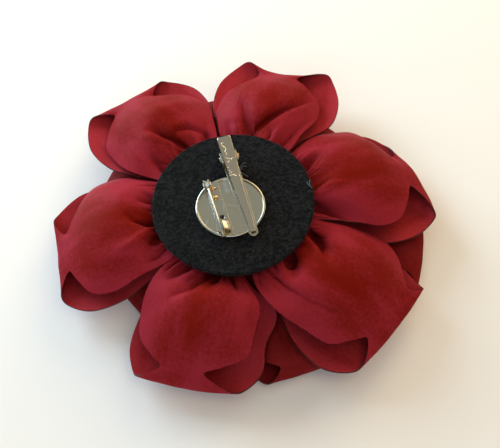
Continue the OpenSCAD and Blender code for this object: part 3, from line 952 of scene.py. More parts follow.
@dataclass
class FoldedPetal:
    """One sheet of satin, gathered at both ends and folded over at the tip.

    Its angle is in degrees, its reach and its rim's height in mm, and skew and bow move the tip. The
    flat size is in metres and the area in square metres. tip_tone is how much further than a cut
    edge the tip's fold counts, in mm, for the satin's painted sheen.
    """

    name: str
    row: PetalRow
    angle: float
    reach: float
    rim: float
    skew: float
    bow: float
    left: Side
    right: Side
    flat: Place
    area: float
    gathers: tuple[Gather, ...] = ()
    folds: tuple[Fold, ...] = ()
    seed: int = 1
    tip_tone: float = 6.0

    # Stations along the sheet: where the dense part of the grid ends, with its share of the rings,
    # the tip, and where the back layer's folds start to fade and how fast.
    DENSE_END = 8.0
    DENSE_SHARE = 0.66
    TIP_STATION = 7.0
    BACK_END = 6.2
    BACK_FADE = 0.8
    # The main shape: how the sides curve, and the part of the tip's bow that is level.
    SIDE_ROUND = 2.2
    BOW_EVEN = 0.35
    # Where the wide gathers start, and how they run out.
    GATHER_START = 0.15
    GATHER_FADE = 1.5
    # The small pleats at the felt: where they lie, how they bend halfway out, and the ranges that
    # their sizes are drawn from. Most are short, because the draw of the length is raised to a power.
    PLEAT_SEED = 100
    PLEAT_SPAN = 0.92
    PLEAT_SHIFT = 0.06
    PLEAT_START = 0.7
    PLEAT_OUT = 0.8
    PLEAT_END = 1.1
    PLEAT_LONGER = (0.1, 0.9)
    PLEAT_SHORTEN = 1.5
    PLEAT_LEAN = 0.12
    PLEAT_BEND = 0.4
    PLEAT_DEPTH = (0.7, 1.6)
    PLEAT_WIDTH = (0.5, 0.95)
    PLEAT_FLANK = (-0.4, 0.4)
    # A fold's section, sharp in a valley and round on a ridge, and how it fades along its path.
    VALLEY_SHAPE = 1.25
    RIDGE_SHAPE = 2.0
    FOLD_FADE = 2.2
    EVEN_FADE = 0.7
    EVEN_END = 0.04
    # The uneven waves: how many, how long in mm, how far they stray from the sheet's way, how they
    # swing, and how their height falls with each station, between a least and a greatest share.
    RIPPLES = 9
    RIPPLE_PITCH = (6, 19)
    RIPPLE_STRAY = 0.5
    RIPPLE_SWING = 0.6
    RIPPLE_BEND = 5
    RIPPLE_FIRST = 1.5
    RIPPLE_FALL = 5
    RIPPLE_LEFT = (0.45, 1.3)
    # The distance that sets the painted sheen: how soft the middle line and the cut edge are, and how edge
    # and tip blend.
    TONE_ROUND = 0.01
    TONE_LEAST = 0.005
    TONE_BLEND = 3.0

    def stations(self) -> np.ndarray:
        """Places along the sheet, close together on the back layer and round the fold."""
        rings = self.row.rings
        last = len(self.row.sections) - 1
        dense = int(rings * self.DENSE_SHARE)
        front = np.linspace(self.DENSE_END, last, rings - dense + 1)[1:]
        return np.concatenate([np.linspace(0, self.DENSE_END, dense), front])

    def base_grid(self, stations: np.ndarray, across: np.ndarray) -> tuple[np.ndarray, np.ndarray]:
        """The petal's main shape, as the solid has it.

        Args:
            stations: places along the sheet.
            across: places across it, from -1 at its right side to 1 at its left.

        Returns:
            The points, and the half widths at each side.
        """
        rows = smooth_rows(self.row.sections, stations)
        run = rows[:, Column.RUN, None]
        left = self.left.half_width(rows)[:, None]
        right = self.right.half_width(rows)[:, None]
        e = across[None, :]
        v = e * np.where(e > 0, left, right)
        mouth = np.where(e > 0, self.left.mouth, self.right.mouth)
        turn = rows[:, Column.TURN, None]
        run_u = self.row.start + (self.reach - self.row.start) * run
        u = run_u - (1 - run) * v * v / (2 * run_u) + turn * (
            self.skew / 2 * e + self.bow * (self.BOW_EVEN - e * e)
        )
        middle = self.rim + (self.row.sewn - self.rim) * rows[:, Column.RISE, None]
        edge = rows[:, Column.EDGE, None] + mouth * rows[:, Column.OPEN, None]
        z = middle + edge * np.abs(e) ** self.SIDE_ROUND
        z = z - rows[:, Column.PLEAT, None] * self.gather_drop(run, e)
        return np.stack([u, v, z], -1), v

    def gather_drop(self, run: np.ndarray, across: np.ndarray) -> np.ndarray:
        """How far the wide gathers pull the back layer down."""
        drop = np.zeros(np.broadcast(run, across).shape)
        for gather in self.gathers:
            out = np.maximum(0.0, run - self.GATHER_START) / gather.length
            fade = np.maximum(0.0, 1 - out**self.GATHER_FADE)
            place = gather.start + (gather.end - gather.start) * np.minimum(1.0, out)
            drop += gather.depth * fade * np.exp(-(((across - place) / gather.width) ** 2))
        return drop

    def crease_height(self, stations: np.ndarray, across: np.ndarray, points: np.ndarray) -> np.ndarray:
        """Height of the fine folds over the main shape, in mm.

        Args:
            stations: places along the sheet.
            across: places across it.
            points: the main shape's points.

        Returns:
            One height a point.
        """
        height = np.zeros(points.shape[:2])
        flat = points[..., :2]
        for fold in (*self.folds, *self.pleats()):
            keys = np.array(fold.path, float)
            i = np.interp(keys[:, 0], stations, np.arange(len(stations)))
            j = np.interp(keys[:, 1], across, np.arange(len(across)))
            height -= fold.depth * self.crease_share(flat, between(flat, i, j), fold)
        back = 1 - np.clip((stations - self.BACK_END) / self.BACK_FADE, 0, 1)
        return height * back[:, None]

    def pleats(self) -> list[Fold]:
        """Small folds that run out from under the felt, the same each run."""
        rng = np.random.default_rng(self.seed + self.PLEAT_SEED)
        made = []
        for middle in np.linspace(-self.PLEAT_SPAN, self.PLEAT_SPAN, self.row.pleats):
            place = middle + rng.uniform(-self.PLEAT_SHIFT, self.PLEAT_SHIFT)
            end = self.PLEAT_END + rng.uniform(*self.PLEAT_LONGER) ** self.PLEAT_SHORTEN
            lean = rng.uniform(-self.PLEAT_LEAN, self.PLEAT_LEAN) * end
            halfway = (0.5 * (self.PLEAT_OUT + end), place + self.PLEAT_BEND * lean)
            path = ((self.PLEAT_START, place), halfway, (end, place + lean))
            depth, width = rng.uniform(*self.PLEAT_DEPTH), rng.uniform(*self.PLEAT_WIDTH)
            made.append(Fold(path, depth, width, lean=rng.uniform(*self.PLEAT_FLANK)))
        return made

    def crease_share(self, flat: np.ndarray, spots: np.ndarray, fold: Fold) -> np.ndarray:
        """How much of a fold's depth each point takes.

        Args:
            flat: the points, seen from above.
            spots: the fold's path, seen from above.
            fold: its width and lean.

        Returns:
            Shares from 0 to 1.
        """
        legs = np.diff(spots, axis=0)
        lengths = np.linalg.norm(legs, axis=1)
        starts = np.concatenate([[0], np.cumsum(lengths)])
        shape = self.VALLEY_SHAPE if fold.depth > 0 else self.RIDGE_SHAPE
        best = np.full(flat.shape[:2], np.inf)
        share = np.zeros(flat.shape[:2])
        for k, leg in enumerate(legs):
            to = flat - spots[k]
            t = np.clip((to @ leg) / max(lengths[k] ** 2, LEAST), 0, 1)
            gap = to - t[..., None] * leg
            distance = np.linalg.norm(gap, axis=-1)
            side = np.sign(leg[0] * to[..., 1] - leg[1] * to[..., 0])
            way = (starts[k] + t * lengths[k]) / starts[-1]
            if fold.even:
                inner = self.EVEN_END + (1 - 2 * self.EVEN_END) * way
                fade = np.sin(np.pi * np.clip(inner, 0, 1)) ** self.EVEN_FADE
            else:
                fade = 1 - way**self.FOLD_FADE
            flank = fold.width * (1 + side * fold.lean)
            value = fade * np.exp(-((distance / flank) ** shape))
            nearer = distance < best
            share = np.where(nearer, value, share)
            best = np.where(nearer, distance, best)
        return share

    def ripple(self, points: np.ndarray, stations: np.ndarray) -> np.ndarray:
        """Soft uneven waves that run out along the sheet, the same each run."""
        rng = np.random.default_rng(self.seed)
        waves = np.zeros(points.shape[:2])
        shortest, longest = self.RIPPLE_PITCH
        for _ in range(self.RIPPLES):
            direction = math.pi / 2 + rng.normal(0, self.RIPPLE_STRAY)
            pitch = rng.uniform(shortest, longest)
            phase = rng.uniform(0, 2 * math.pi)
            along = points[..., 0] * math.cos(direction) + points[..., 1] * math.sin(direction)
            swing = self.RIPPLE_SWING * np.sin(along / self.RIPPLE_BEND)
            turns = along * 2 * math.pi / pitch + phase + swing
            waves += np.sin(turns) * pitch / longest
        left = np.clip(self.RIPPLE_FIRST - stations / self.RIPPLE_FALL, *self.RIPPLE_LEFT)[:, None]
        return waves * left * self.row.waves

    def build(self) -> bpy.types.Object:
        """Makes the petal's sheet.

        Returns:
            The object, with its flat layout as UV.
        """
        stations = self.stations()
        across = np.linspace(-1, 1, self.row.strips)
        points, v = self.base_grid(stations, across)
        normals = grid_normals(points)
        back_layer = normals[: len(stations) // 3]
        upright = np.sign(back_layer[..., 2].mean())
        lift = self.crease_height(stations, across, points) + self.ripple(points, stations)
        points = points + normals * upright * lift[..., None]
        steps = np.linalg.norm(np.diff(points[:, len(across) // 2], axis=0), axis=1)
        way = np.concatenate([[0], np.cumsum(steps)])
        x, y = turned_out(points[..., 0], points[..., 1], self.angle)
        petal = mesh_object(
            "satin_" + self.name,
            point_rows(x, y, points[..., 2]),
            grid_faces(len(stations), len(across)),
            uv=flat_layout(v, way[:, None]),
            edge=self.edge_distance(stations, across, v, way).ravel(),
        )
        thicken(petal, self.row.thickness, rim=Layer.RIM, face=Layer.FACE)
        return petal

    def edge_distance(
        self, stations: np.ndarray, across: np.ndarray, v: np.ndarray, way: np.ndarray
    ) -> np.ndarray:
        """How far each point is from the cut edge, in mm, which sets the satin's painted sheen.

        Args:
            stations: places along the sheet.
            across: places across it.
            v: how far each point is from the sheet's middle line, in mm.
            way: how far each row is from the sewn end, in mm.

        Returns:
            The distances. The fold at the tip counts as an edge too, tip_tone mm further away.
        """
        reach = 0.5 * ((1 + across) * v[:, -1:] - (1 - across) * v[:, :1])
        side = reach * (1 - np.sqrt(across**2 + self.TONE_ROUND)) + self.TONE_LEAST * reach
        tip = np.abs(way - np.interp(self.TIP_STATION, stations, way))[:, None] + self.tip_tone
        return (side**-self.TONE_BLEND + tip**-self.TONE_BLEND) ** (-1 / self.TONE_BLEND)

    def dress(
        self,
        petal: bpy.types.Object,
        satin: dict[Cloth, bpy.types.Material],
        singed: bpy.types.Material,
    ) -> None:
        """Gives the sheet its finishes, lets it ride on the flower, and hides the part that it replaces.

        Args:
            petal: the sheet.
            satin: the finish of each cloth.
            singed: the finish of the cut edge.
        """
        rest_on(petal, Body.FLOWER, satin[self.row.reverse])
        for finish in (singed, satin[self.row.face]):
            petal.data.materials.append(finish)
        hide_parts(self.name)


OUTER_PETALS = (
    FoldedPetal(
        name="petal_upper_left", row=OUTER_ROW, angle=122, reach=72.5, rim=13, skew=2, bow=0,
        left=Side(base=14, waist=20.2, lobe=21, notch=9, corner=16, front=25, hem=19, mouth=3),
        right=Side(base=12.8, waist=18.7, lobe=23.4, notch=9, corner=14.5, front=24.2, hem=17.8, mouth=1),
        flat=(0.056, 0.13), area=0.0057, seed=11,
        gathers=(
            Gather(start=0, end=0.22, depth=2.2, length=0.42, width=0.15),
            Gather(start=0.7, end=0.55, depth=1.6, length=0.35, width=0.15),
            Gather(start=-0.72, end=-0.78, depth=1.7, length=0.3, width=0.14),
        ),
        folds=(
            Fold(((0.8, -0.06), (1.2, -0.03), (1.68, 0.06), (2.1, 0.17), (2.7, 0.3)),
                 depth=3.6, width=1.5, lean=-0.65),
            Fold(((0.8, 0.03), (1.2, 0.06), (1.68, 0.17), (2.1, 0.29), (2.7, 0.42)), depth=-1.5, width=1.5),
            Fold(((1.45, -0.8), (1.55, -0.69), (1.8, -0.43), (1.9, -0.14), (1.75, 0.0)),
                 depth=1.9, width=1.2, lean=0.45, even=True),
            Fold(((0.8, -0.7), (1.2, -0.74), (1.6, -0.76)), depth=2.2, width=1.0),
            Fold(((0.8, 0.74), (1.15, 0.69), (1.75, 0.55)), depth=2, width=1.1, lean=0.3),
            Fold(((0.8, 0.45), (1.2, 0.42), (1.6, 0.38)), depth=1.2, width=0.9),
            Fold(((0.8, -0.35), (1.2, -0.36), (1.55, -0.38)), depth=1.1, width=0.9),
            Fold(((3.2, -0.95), (2.9, -0.3), (3.3, 0.1), (3.9, 0.36)),
                 depth=-0.8, width=4.0, lean=0.0, even=True),
        ),
    ),
    FoldedPetal(
        name="petal_top", row=OUTER_ROW, angle=71, reach=71.5, rim=14, skew=0, bow=-3,
        left=Side(base=12.5, waist=17.1, lobe=20.8, notch=8, corner=13, front=22.3, hem=17, mouth=1),
        right=Side(base=13, waist=17, lobe=20, notch=8, corner=18, front=26.2, hem=17, mouth=5),
        flat=(0.053, 0.13), area=0.0053, seed=12,
        gathers=(
            Gather(start=0.06, end=-0.8, depth=2.6, length=0.62, width=0.15),
            Gather(start=0.2, end=0.5, depth=2.0, length=0.45, width=0.15),
            Gather(start=0.75, end=0.82, depth=1.3, length=0.25, width=0.14),
        ),
        folds=(
            Fold(((0.8, 0.06), (1.4, -0.02), (1.85, -0.21), (2.55, -0.43), (3.3, -0.68), (4.0, -0.93)),
                 depth=3.2, width=1.3, lean=0.6),
            Fold(((0.8, -0.06), (1.4, -0.15), (1.85, -0.35), (2.55, -0.57), (3.3, -0.8)),
                 depth=-1.5, width=1.6),
            Fold(((0.8, -0.78), (1.4, -0.82), (2.27, -0.9), (3.0, -0.98)), depth=2, width=1.2, lean=0.3),
            Fold(((0.8, -0.42), (1.5, -0.5), (2.2, -0.58)), depth=-1.2, width=1.8),
            Fold(((0.8, 0.2), (1.33, 0.23), (1.9, 0.37), (2.83, 0.49)), depth=2.8, width=1.7, lean=-0.35),
            Fold(((0.8, 0.72), (1.3, 0.74), (1.8, 0.8)), depth=1.6, width=0.9),
            Fold(((1.85, 0.84), (1.62, 0.62), (1.75, 0.42)), depth=0.5, width=1.7, lean=0.0, even=True),
        ),
    ),
    FoldedPetal(
        name="petal_right", row=OUTER_ROW, angle=14, reach=70, rim=11, skew=-4, bow=2,
        left=Side(base=15, waist=21.7, lobe=24.6, notch=7.5, corner=8.5, front=21.2, hem=18, mouth=1),
        right=Side(base=14, waist=19, lobe=23.2, notch=9, corner=20, front=27.4, hem=20.2, mouth=6.6),
        flat=(0.057, 0.13), area=0.0059, seed=13, tip_tone=16,
        gathers=(
            Gather(start=-0.64, end=-1.0, depth=2.8, length=0.42, width=0.14),
            Gather(start=0.0, end=0.1, depth=1.6, length=0.3, width=0.15),
            Gather(start=0.52, end=0.45, depth=1.7, length=0.32, width=0.15),
        ),
        folds=(
            Fold(((0.8, -0.6), (1.15, -0.7), (1.45, -0.83), (1.83, -0.95), (2.3, -1.0)),
                 depth=3.1, width=1.3, lean=0.4),
            Fold(((0.8, -0.9), (1.3, -0.95), (1.7, -1.0)), depth=1.4, width=0.9),
            Fold(((0.8, -0.45), (1.3, -0.33), (1.62, -0.25), (2.1, -0.27)),
                 depth=-1.6, width=1.3, lean=-0.3),
            Fold(((0.8, -0.18), (1.3, -0.12), (1.7, -0.1)), depth=1.6, width=1.0),
            Fold(((0.8, 0.75), (1.28, 0.7), (1.95, 0.62)), depth=-1.5, width=1.5),
            Fold(((0.8, 0.5), (1.3, 0.5), (1.8, 0.48)), depth=1.9, width=1.4, lean=0.2),
            Fold(((0.8, 0.18), (1.2, 0.2), (1.6, 0.22)), depth=1.2, width=0.9),
            Fold(((0.8, 0.9), (1.3, 0.88)), depth=1.4, width=1.0),
        ),
    ),
    FoldedPetal(
        name="petal_lower_right", row=OUTER_ROW, angle=318, reach=70, rim=10, skew=1, bow=1,
        left=Side(base=14.4, waist=19.8, lobe=25, notch=15, corner=18, front=21.6, hem=17.8, mouth=1),
        right=Side(base=19.5, waist=23.5, lobe=22.5, notch=10.5, corner=17, front=27.2, hem=21, mouth=6),
        flat=(0.06, 0.13), area=0.0064, seed=14, tip_tone=16,
        gathers=(
            Gather(start=-0.2, end=-0.5, depth=2.8, length=0.22, width=0.14),
            Gather(start=0.55, end=0.05, depth=2.4, length=0.36, width=0.14),
            Gather(start=-0.88, end=-0.68, depth=1.4, length=0.5, width=0.12),
        ),
        folds=(
            Fold(((0.8, 0.62), (1.2, 0.45), (1.58, 0.22), (2.05, 0.03)), depth=3, width=1.4, lean=0.5),
            Fold(((0.8, 0.34), (1.2, 0.25), (1.53, 0.12), (2.0, -0.06)), depth=-1.5, width=1.3),
            Fold(((0.75, -0.15), (1.07, -0.27), (1.3, -0.4)), depth=3.8, width=1.4, lean=0.0),
            Fold(((0.75, -0.68), (1.2, -0.66), (1.7, -0.66), (2.4, -0.62), (3.2, -0.56), (4.3, -0.46)),
                 depth=1.5, width=0.9, lean=-0.45),
            Fold(((0.8, -0.9), (1.3, -0.84), (1.9, -0.86)), depth=-1.1, width=1.1),
            Fold(((0.8, 0.86), (1.3, 0.84)), depth=1.2, width=0.9),
            Fold(((6.6, 0.95), (6.35, 0.8), (5.85, 0.45)), depth=1.1, width=1.6, lean=0.3),
        ),
    ),
    FoldedPetal(
        name="petal_bottom", row=OUTER_ROW, angle=252, reach=64.5, rim=9, skew=-1, bow=1,
        left=Side(base=10, waist=17.7, lobe=18, notch=3.5, corner=12, front=22.4, hem=23, mouth=6),
        right=Side(base=17, waist=22, lobe=23, notch=12, corner=18.5, front=25.4, hem=21.5, mouth=4),
        flat=(0.055, 0.12), area=0.0053, seed=15,
        gathers=(
            Gather(start=-0.62, end=-0.8, depth=2.2, length=0.25, width=0.14),
            Gather(start=-0.14, end=-0.66, depth=1.6, length=0.45, width=0.13),
            Gather(start=0.06, end=0.0, depth=2.0, length=0.22, width=0.13),
        ),
        folds=(
            Fold(((0.75, -0.58), (1.0, -0.64), (1.3, -0.69), (1.75, -0.76)), depth=2.6, width=1.3),
            Fold(((0.75, -0.12), (1.1, -0.2), (1.75, -0.34), (2.4, -0.6)), depth=2.2, width=1.0, lean=0.35),
            Fold(((0.75, 0.08), (1.0, 0.08), (1.4, 0.0)), depth=2.6, width=1.0),
            Fold(((0.75, -0.38), (1.2, -0.46)), depth=-1.2, width=1.2),
            Fold(((0.75, 0.5), (1.0, 0.56), (1.5, 0.7)), depth=1.6, width=1.0),
            Fold(((0.75, -0.86), (1.1, -0.88), (1.5, -0.9)), depth=1.5, width=0.9),
        ),
    ),
    FoldedPetal(
        name="petal_left", row=OUTER_ROW, angle=183, reach=66.6, rim=10, skew=-1.6, bow=0,
        left=Side(base=17, waist=21.4, lobe=23.8, notch=11, corner=18, front=26, hem=21, mouth=5),
        right=Side(base=16.5, waist=21.2, lobe=25.6, notch=6, corner=12, front=24, hem=19.8, mouth=1),
        flat=(0.058, 0.125), area=0.0059, seed=16,
        gathers=(
            Gather(start=0.08, end=-0.15, depth=2.0, length=0.3, width=0.13),
            Gather(start=0.4, end=0.6, depth=2.2, length=0.2, width=0.14),
            Gather(start=-0.45, end=-0.45, depth=1.8, length=0.32, width=0.15),
        ),
        folds=(
            Fold(((0.8, 0.1), (1.15, 0.07), (1.68, 0.02), (2.0, -0.16)), depth=3.0, width=1.0, lean=0.5),
            Fold(((0.8, 0.17), (1.3, 0.28), (1.88, 0.46), (2.6, 0.52)), depth=-1.2, width=1.5),
            Fold(((0.75, 0.38), (1.12, 0.42), (1.4, 0.55)), depth=2.6, width=1.1),
            Fold(((0.75, 0.72), (1.2, 0.8), (1.7, 0.88)), depth=1.9, width=0.9),
            Fold(((0.8, -0.42), (1.2, -0.45), (1.7, -0.42)), depth=1.9, width=1.2),
            Fold(((0.8, -0.16), (1.2, -0.2), (1.5, -0.24)), depth=1.1, width=0.9),
            Fold(((0.8, -0.75), (1.4, -0.8)), depth=1.5, width=1.0),
        ),
    ),
)


UNDER_RIM = 4
# Cloth at both ends that is sewn in, in metres, and the share of its flat size that a sheet covers.
UNDER_HEMS = 0.012
UNDER_FILL = 0.82
UNDER_GATHERS = (
    Gather(start=0.4, end=0.5, depth=0.8, length=0.4, width=0.2),
    Gather(start=-0.4, end=-0.5, depth=0.8, length=0.4, width=0.2),
)


def under_petal(
    name: str, angle: float, reach: float, side: Side, seed: int,
    skew: float = 0, bow: float = 0, right_mouth: float = 2,
) -> FoldedPetal:
    """A petal of the second row, with a flat size that follows its reach.

    Args:
        name: its place in the row, which ends its name.
        angle: its way, in degrees.
        reach: how far its tip is from the felt's middle, in mm.
        side: its left side, which its right one mirrors.
        seed: which ripples it has.
        skew: how far its tip leans to a side.
        bow: how round its tip is.
        right_mouth: how far the pocket gapes at the right, in mm.

    Returns:
        The petal.
    """
    length = 2 * (reach - UNDER_ROW.start) * MM + UNDER_HEMS
    width = 2 * side.front * MM
    return FoldedPetal(
        name="under_petal_" + name, row=UNDER_ROW, angle=angle, reach=reach, rim=UNDER_RIM,
        skew=skew, bow=bow, left=side, right=replace(side, mouth=right_mouth),
        flat=(width, length), area=UNDER_FILL * width * length, gathers=UNDER_GATHERS, seed=seed,
    )


UNDER_RIGHT = Side(base=11, waist=14.4, lobe=17, notch=8, corner=13, front=18, hem=14, mouth=2)
UNDER_BOTTOM = Side(base=11, waist=13.8, lobe=16, notch=8, corner=12, front=18, hem=14, mouth=2)
UNDER_LOWER_LEFT = Side(base=11, waist=13.8, lobe=16, notch=8, corner=12, front=17, hem=13.6, mouth=2)
UNDER_SMALL = Side(base=10, waist=12.8, lobe=15, notch=8, corner=11, front=16, hem=12.7, mouth=2)
UNDER_SMALLEST = Side(base=9, waist=11.8, lobe=14, notch=8, corner=11, front=15, hem=11.7, mouth=2)
UNDER_PETALS = (
    under_petal("right", angle=346, reach=69, side=UNDER_RIGHT, seed=21, bow=1),
    under_petal("bottom", angle=289, reach=61, side=UNDER_BOTTOM, seed=22, skew=3, right_mouth=3),
    under_petal("lower_left", angle=216, reach=47, side=UNDER_LOWER_LEFT, seed=23),
    under_petal("left", angle=151, reach=57, side=UNDER_SMALL, seed=24),
    under_petal("top_left", angle=97, reach=64, side=UNDER_SMALLEST, seed=25),
    under_petal("top_right", angle=44, reach=60, side=UNDER_SMALL, seed=26),
)


@dataclass
class InnerPetals:
    """The small single petals round the bud, which lie on the surface. Sizes are in mm."""

    count: int = 5
    turn: float = 20.0
    thickness: float = 0.5
    rings: int = 36
    strips: int = 37
    pleat_pitch: float = 11.0
    pleat_depth: float = 0.35
    pleat_length: float = 12.0
    flat: Place = (0.023, 0.024)
    area: float = 0.00042
    # How flat the arc of a ring is: 2 would be round about the middle.
    arc_flatness: float = 3.0
    sections: np.ndarray = field(default_factory=lambda: np.array([
        # distance from the middle, height, half width, curl of the sides
        (8.5, 10.5, 4.2, 0),
        (13, 7.4, 7.6, 0.2),
        (18, 4.8, 10, 0.4),
        (23, 3, 11.5, 0.6),
        (27, 2, 10, 0.8),
        (29.5, 1.6, 5, 0.6),
    ]))

    def build(self) -> list[bpy.types.Object]:
        """Makes the petals.

        Returns:
            One object a petal.
        """
        rows = smooth_rows(self.sections, np.linspace(0, len(self.sections) - 1, self.rings))
        reach, rise, half_width, curl = (column[:, None] for column in rows.T)
        across = np.linspace(-1, 1, self.strips)[None, :]
        v = across * half_width
        u = reach - v * v / (self.arc_flatness * reach)
        fade = np.clip(1 - (reach - self.sections[0, 0]) / self.pleat_length, 0, 1)
        z = rise + curl * across**2 + self.pleat_depth * np.cos(across * self.pleat_pitch) * fade
        faces = grid_faces(self.rings, self.strips)
        made = []
        for k in range(1, self.count + 1):
            x, y = turned_out(u, v, self.turn + 360 / self.count * k)
            petal = mesh_object(f"satin_inner_petal_{k}", point_rows(x, y, z), faces, flat_layout(v, u))
            thicken(petal, self.thickness)
            made.append(petal)
        return made

    def dress(self, petals: Iterable[bpy.types.Object], finish: bpy.types.Material) -> None:
        """Gives each petal its satin, lets it ride on the flower, and hides the part that it replaces."""
        for k, petal in enumerate(petals, 1):
            rest_on(petal, Body.FLOWER, finish)
            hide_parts(f"inner_petal_{k}")


@dataclass(frozen=True)
class BudTurn:
    """One turn of the bud: its share of the bud's radius, its lower edge in mm, and its way in degrees."""

    share: float
    low: float
    way: float


@dataclass
class Bud:
    """The rolled bud in the middle of the front, and the stem that all petals are sewn round."""

    radius: float = 9.5
    high: float = 12.0
    opening: float = 70.0
    thickness: float = 0.5
    rings: int = 22
    spokes: int = 90
    turns: tuple[BudTurn, ...] = (
        BudTurn(share=1.0, low=1.2, way=0.0),
        BudTurn(share=0.7, low=0.7, way=130.0),
        BudTurn(share=0.4, low=0.5, way=250.0),
    )
    stem_radius: float = 7.0
    stem_low: float = 11.0
    stem_rings: int = 40
    stem_spokes: int = 120

    # Where a turn's belly is, how narrow its mouth is, and how far each key of its profile lies in.
    BELLY = 0.55
    MOUTH = 0.55
    INSET = 0.5
    FOOT_INSET = 0.8
    FOOT_RISE = 0.25
    # The waves round a turn: how many, how high, and the share that is left at its foot.
    WAVES = 7
    WAVE_HEIGHT = 0.18
    WAVE_LEFT = 0.3
    # The stem: its gap under the felt, its winding and creases, and the share of its radius at its
    # closed ends.
    STEM_GAP = 0.05
    STEM_INSET = 0.35
    WINDING_HEIGHT = 0.2
    WINDING_PITCH = 1.1
    CREASES = 23
    CREASE_DEPTH = 0.15
    CREASE_TWIST = 0.4
    STEM_END = 0.02
    # The flat size of a turn, in metres: its width as a share of the way round, and its height.
    FLAT_SHARE = 0.82
    FLAT_LEAST = 0.0101
    FLAT_HEIGHT = 0.013

    def build_turn(self, number: int) -> bpy.types.Object:
        """Makes one open turn of satin.

        Args:
            number: which turn, from the outside.

        Returns:
            The object.
        """
        turn = self.turns[number]
        r = turn.share * self.radius
        belly = turn.low + (self.high - turn.low) * self.BELLY
        keys = np.array([
            (r * self.MOUTH + self.INSET, self.high),
            (r - self.INSET, belly),
            (r - self.FOOT_INSET, turn.low + self.FOOT_RISE),
        ])
        profile = smooth_rows(keys, np.linspace(0, len(keys) - 1, self.rings))
        angle = np.radians(turn.way + np.linspace(0, 360 - self.opening, self.spokes))
        fade = np.linspace(1, self.WAVE_LEFT, self.rings)[:, None]
        wave = self.WAVE_HEIGHT * np.sin(angle * self.WAVES + number) * fade
        x, y = round_middle(profile[:, :1] + wave, angle)
        z = profile[:, 1:]
        name = f"satin_bud_turn_{number + 1}"
        made = mesh_object(name, point_rows(x, y, z), grid_faces(*x.shape), flat_layout(r * angle, z))
        thicken(made, self.thickness)
        return made

    def build_stem(self) -> bpy.types.Object:
        """Makes the stem: cloth wound and sewn into a firm stub, creased all round.

        Returns:
            The object.
        """
        z = np.linspace(self.stem_low, FELT_TOP - FELT_T - self.STEM_GAP, self.stem_rings)[:, None]
        angle = np.linspace(0, 2 * math.pi, self.stem_spokes, endpoint=False)
        winding = self.WINDING_HEIGHT * np.sin(z * self.WINDING_PITCH)
        creases = self.CREASE_DEPTH * np.sin(angle * self.CREASES + z * self.CREASE_TWIST)
        reach = self.stem_radius - self.STEM_INSET + winding + creases
        for end, beside in ((0, 1), (-1, -2)):
            reach[end] *= self.STEM_END
            z[beside] = z[end]
        x, y = round_middle(reach, angle)
        faces = grid_faces(*x.shape, closed=True)
        layout = flat_layout(self.stem_radius * angle, z)
        return mesh_object("satin_stem", point_rows(x, y, z), faces, layout)

    def build(self) -> list[bpy.types.Object]:
        """Makes the turns and the stem."""
        return [self.build_turn(k) for k in range(len(self.turns))] + [self.build_stem()]

    def dress(self, pieces: list[bpy.types.Object], finish: bpy.types.Material) -> None:
        """Gives the bud its satin, lets it ride on the flower, and hides the part that it replaces."""
        for piece in pieces:
            rest_on(piece, Body.FLOWER, finish)
            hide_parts("flower_centre")
        *turns, stem = pieces
        for turn, piece in zip(self.turns, turns):
            width = math.radians(360 - self.opening) * self.radius * turn.share * self.FLAT_SHARE * MM


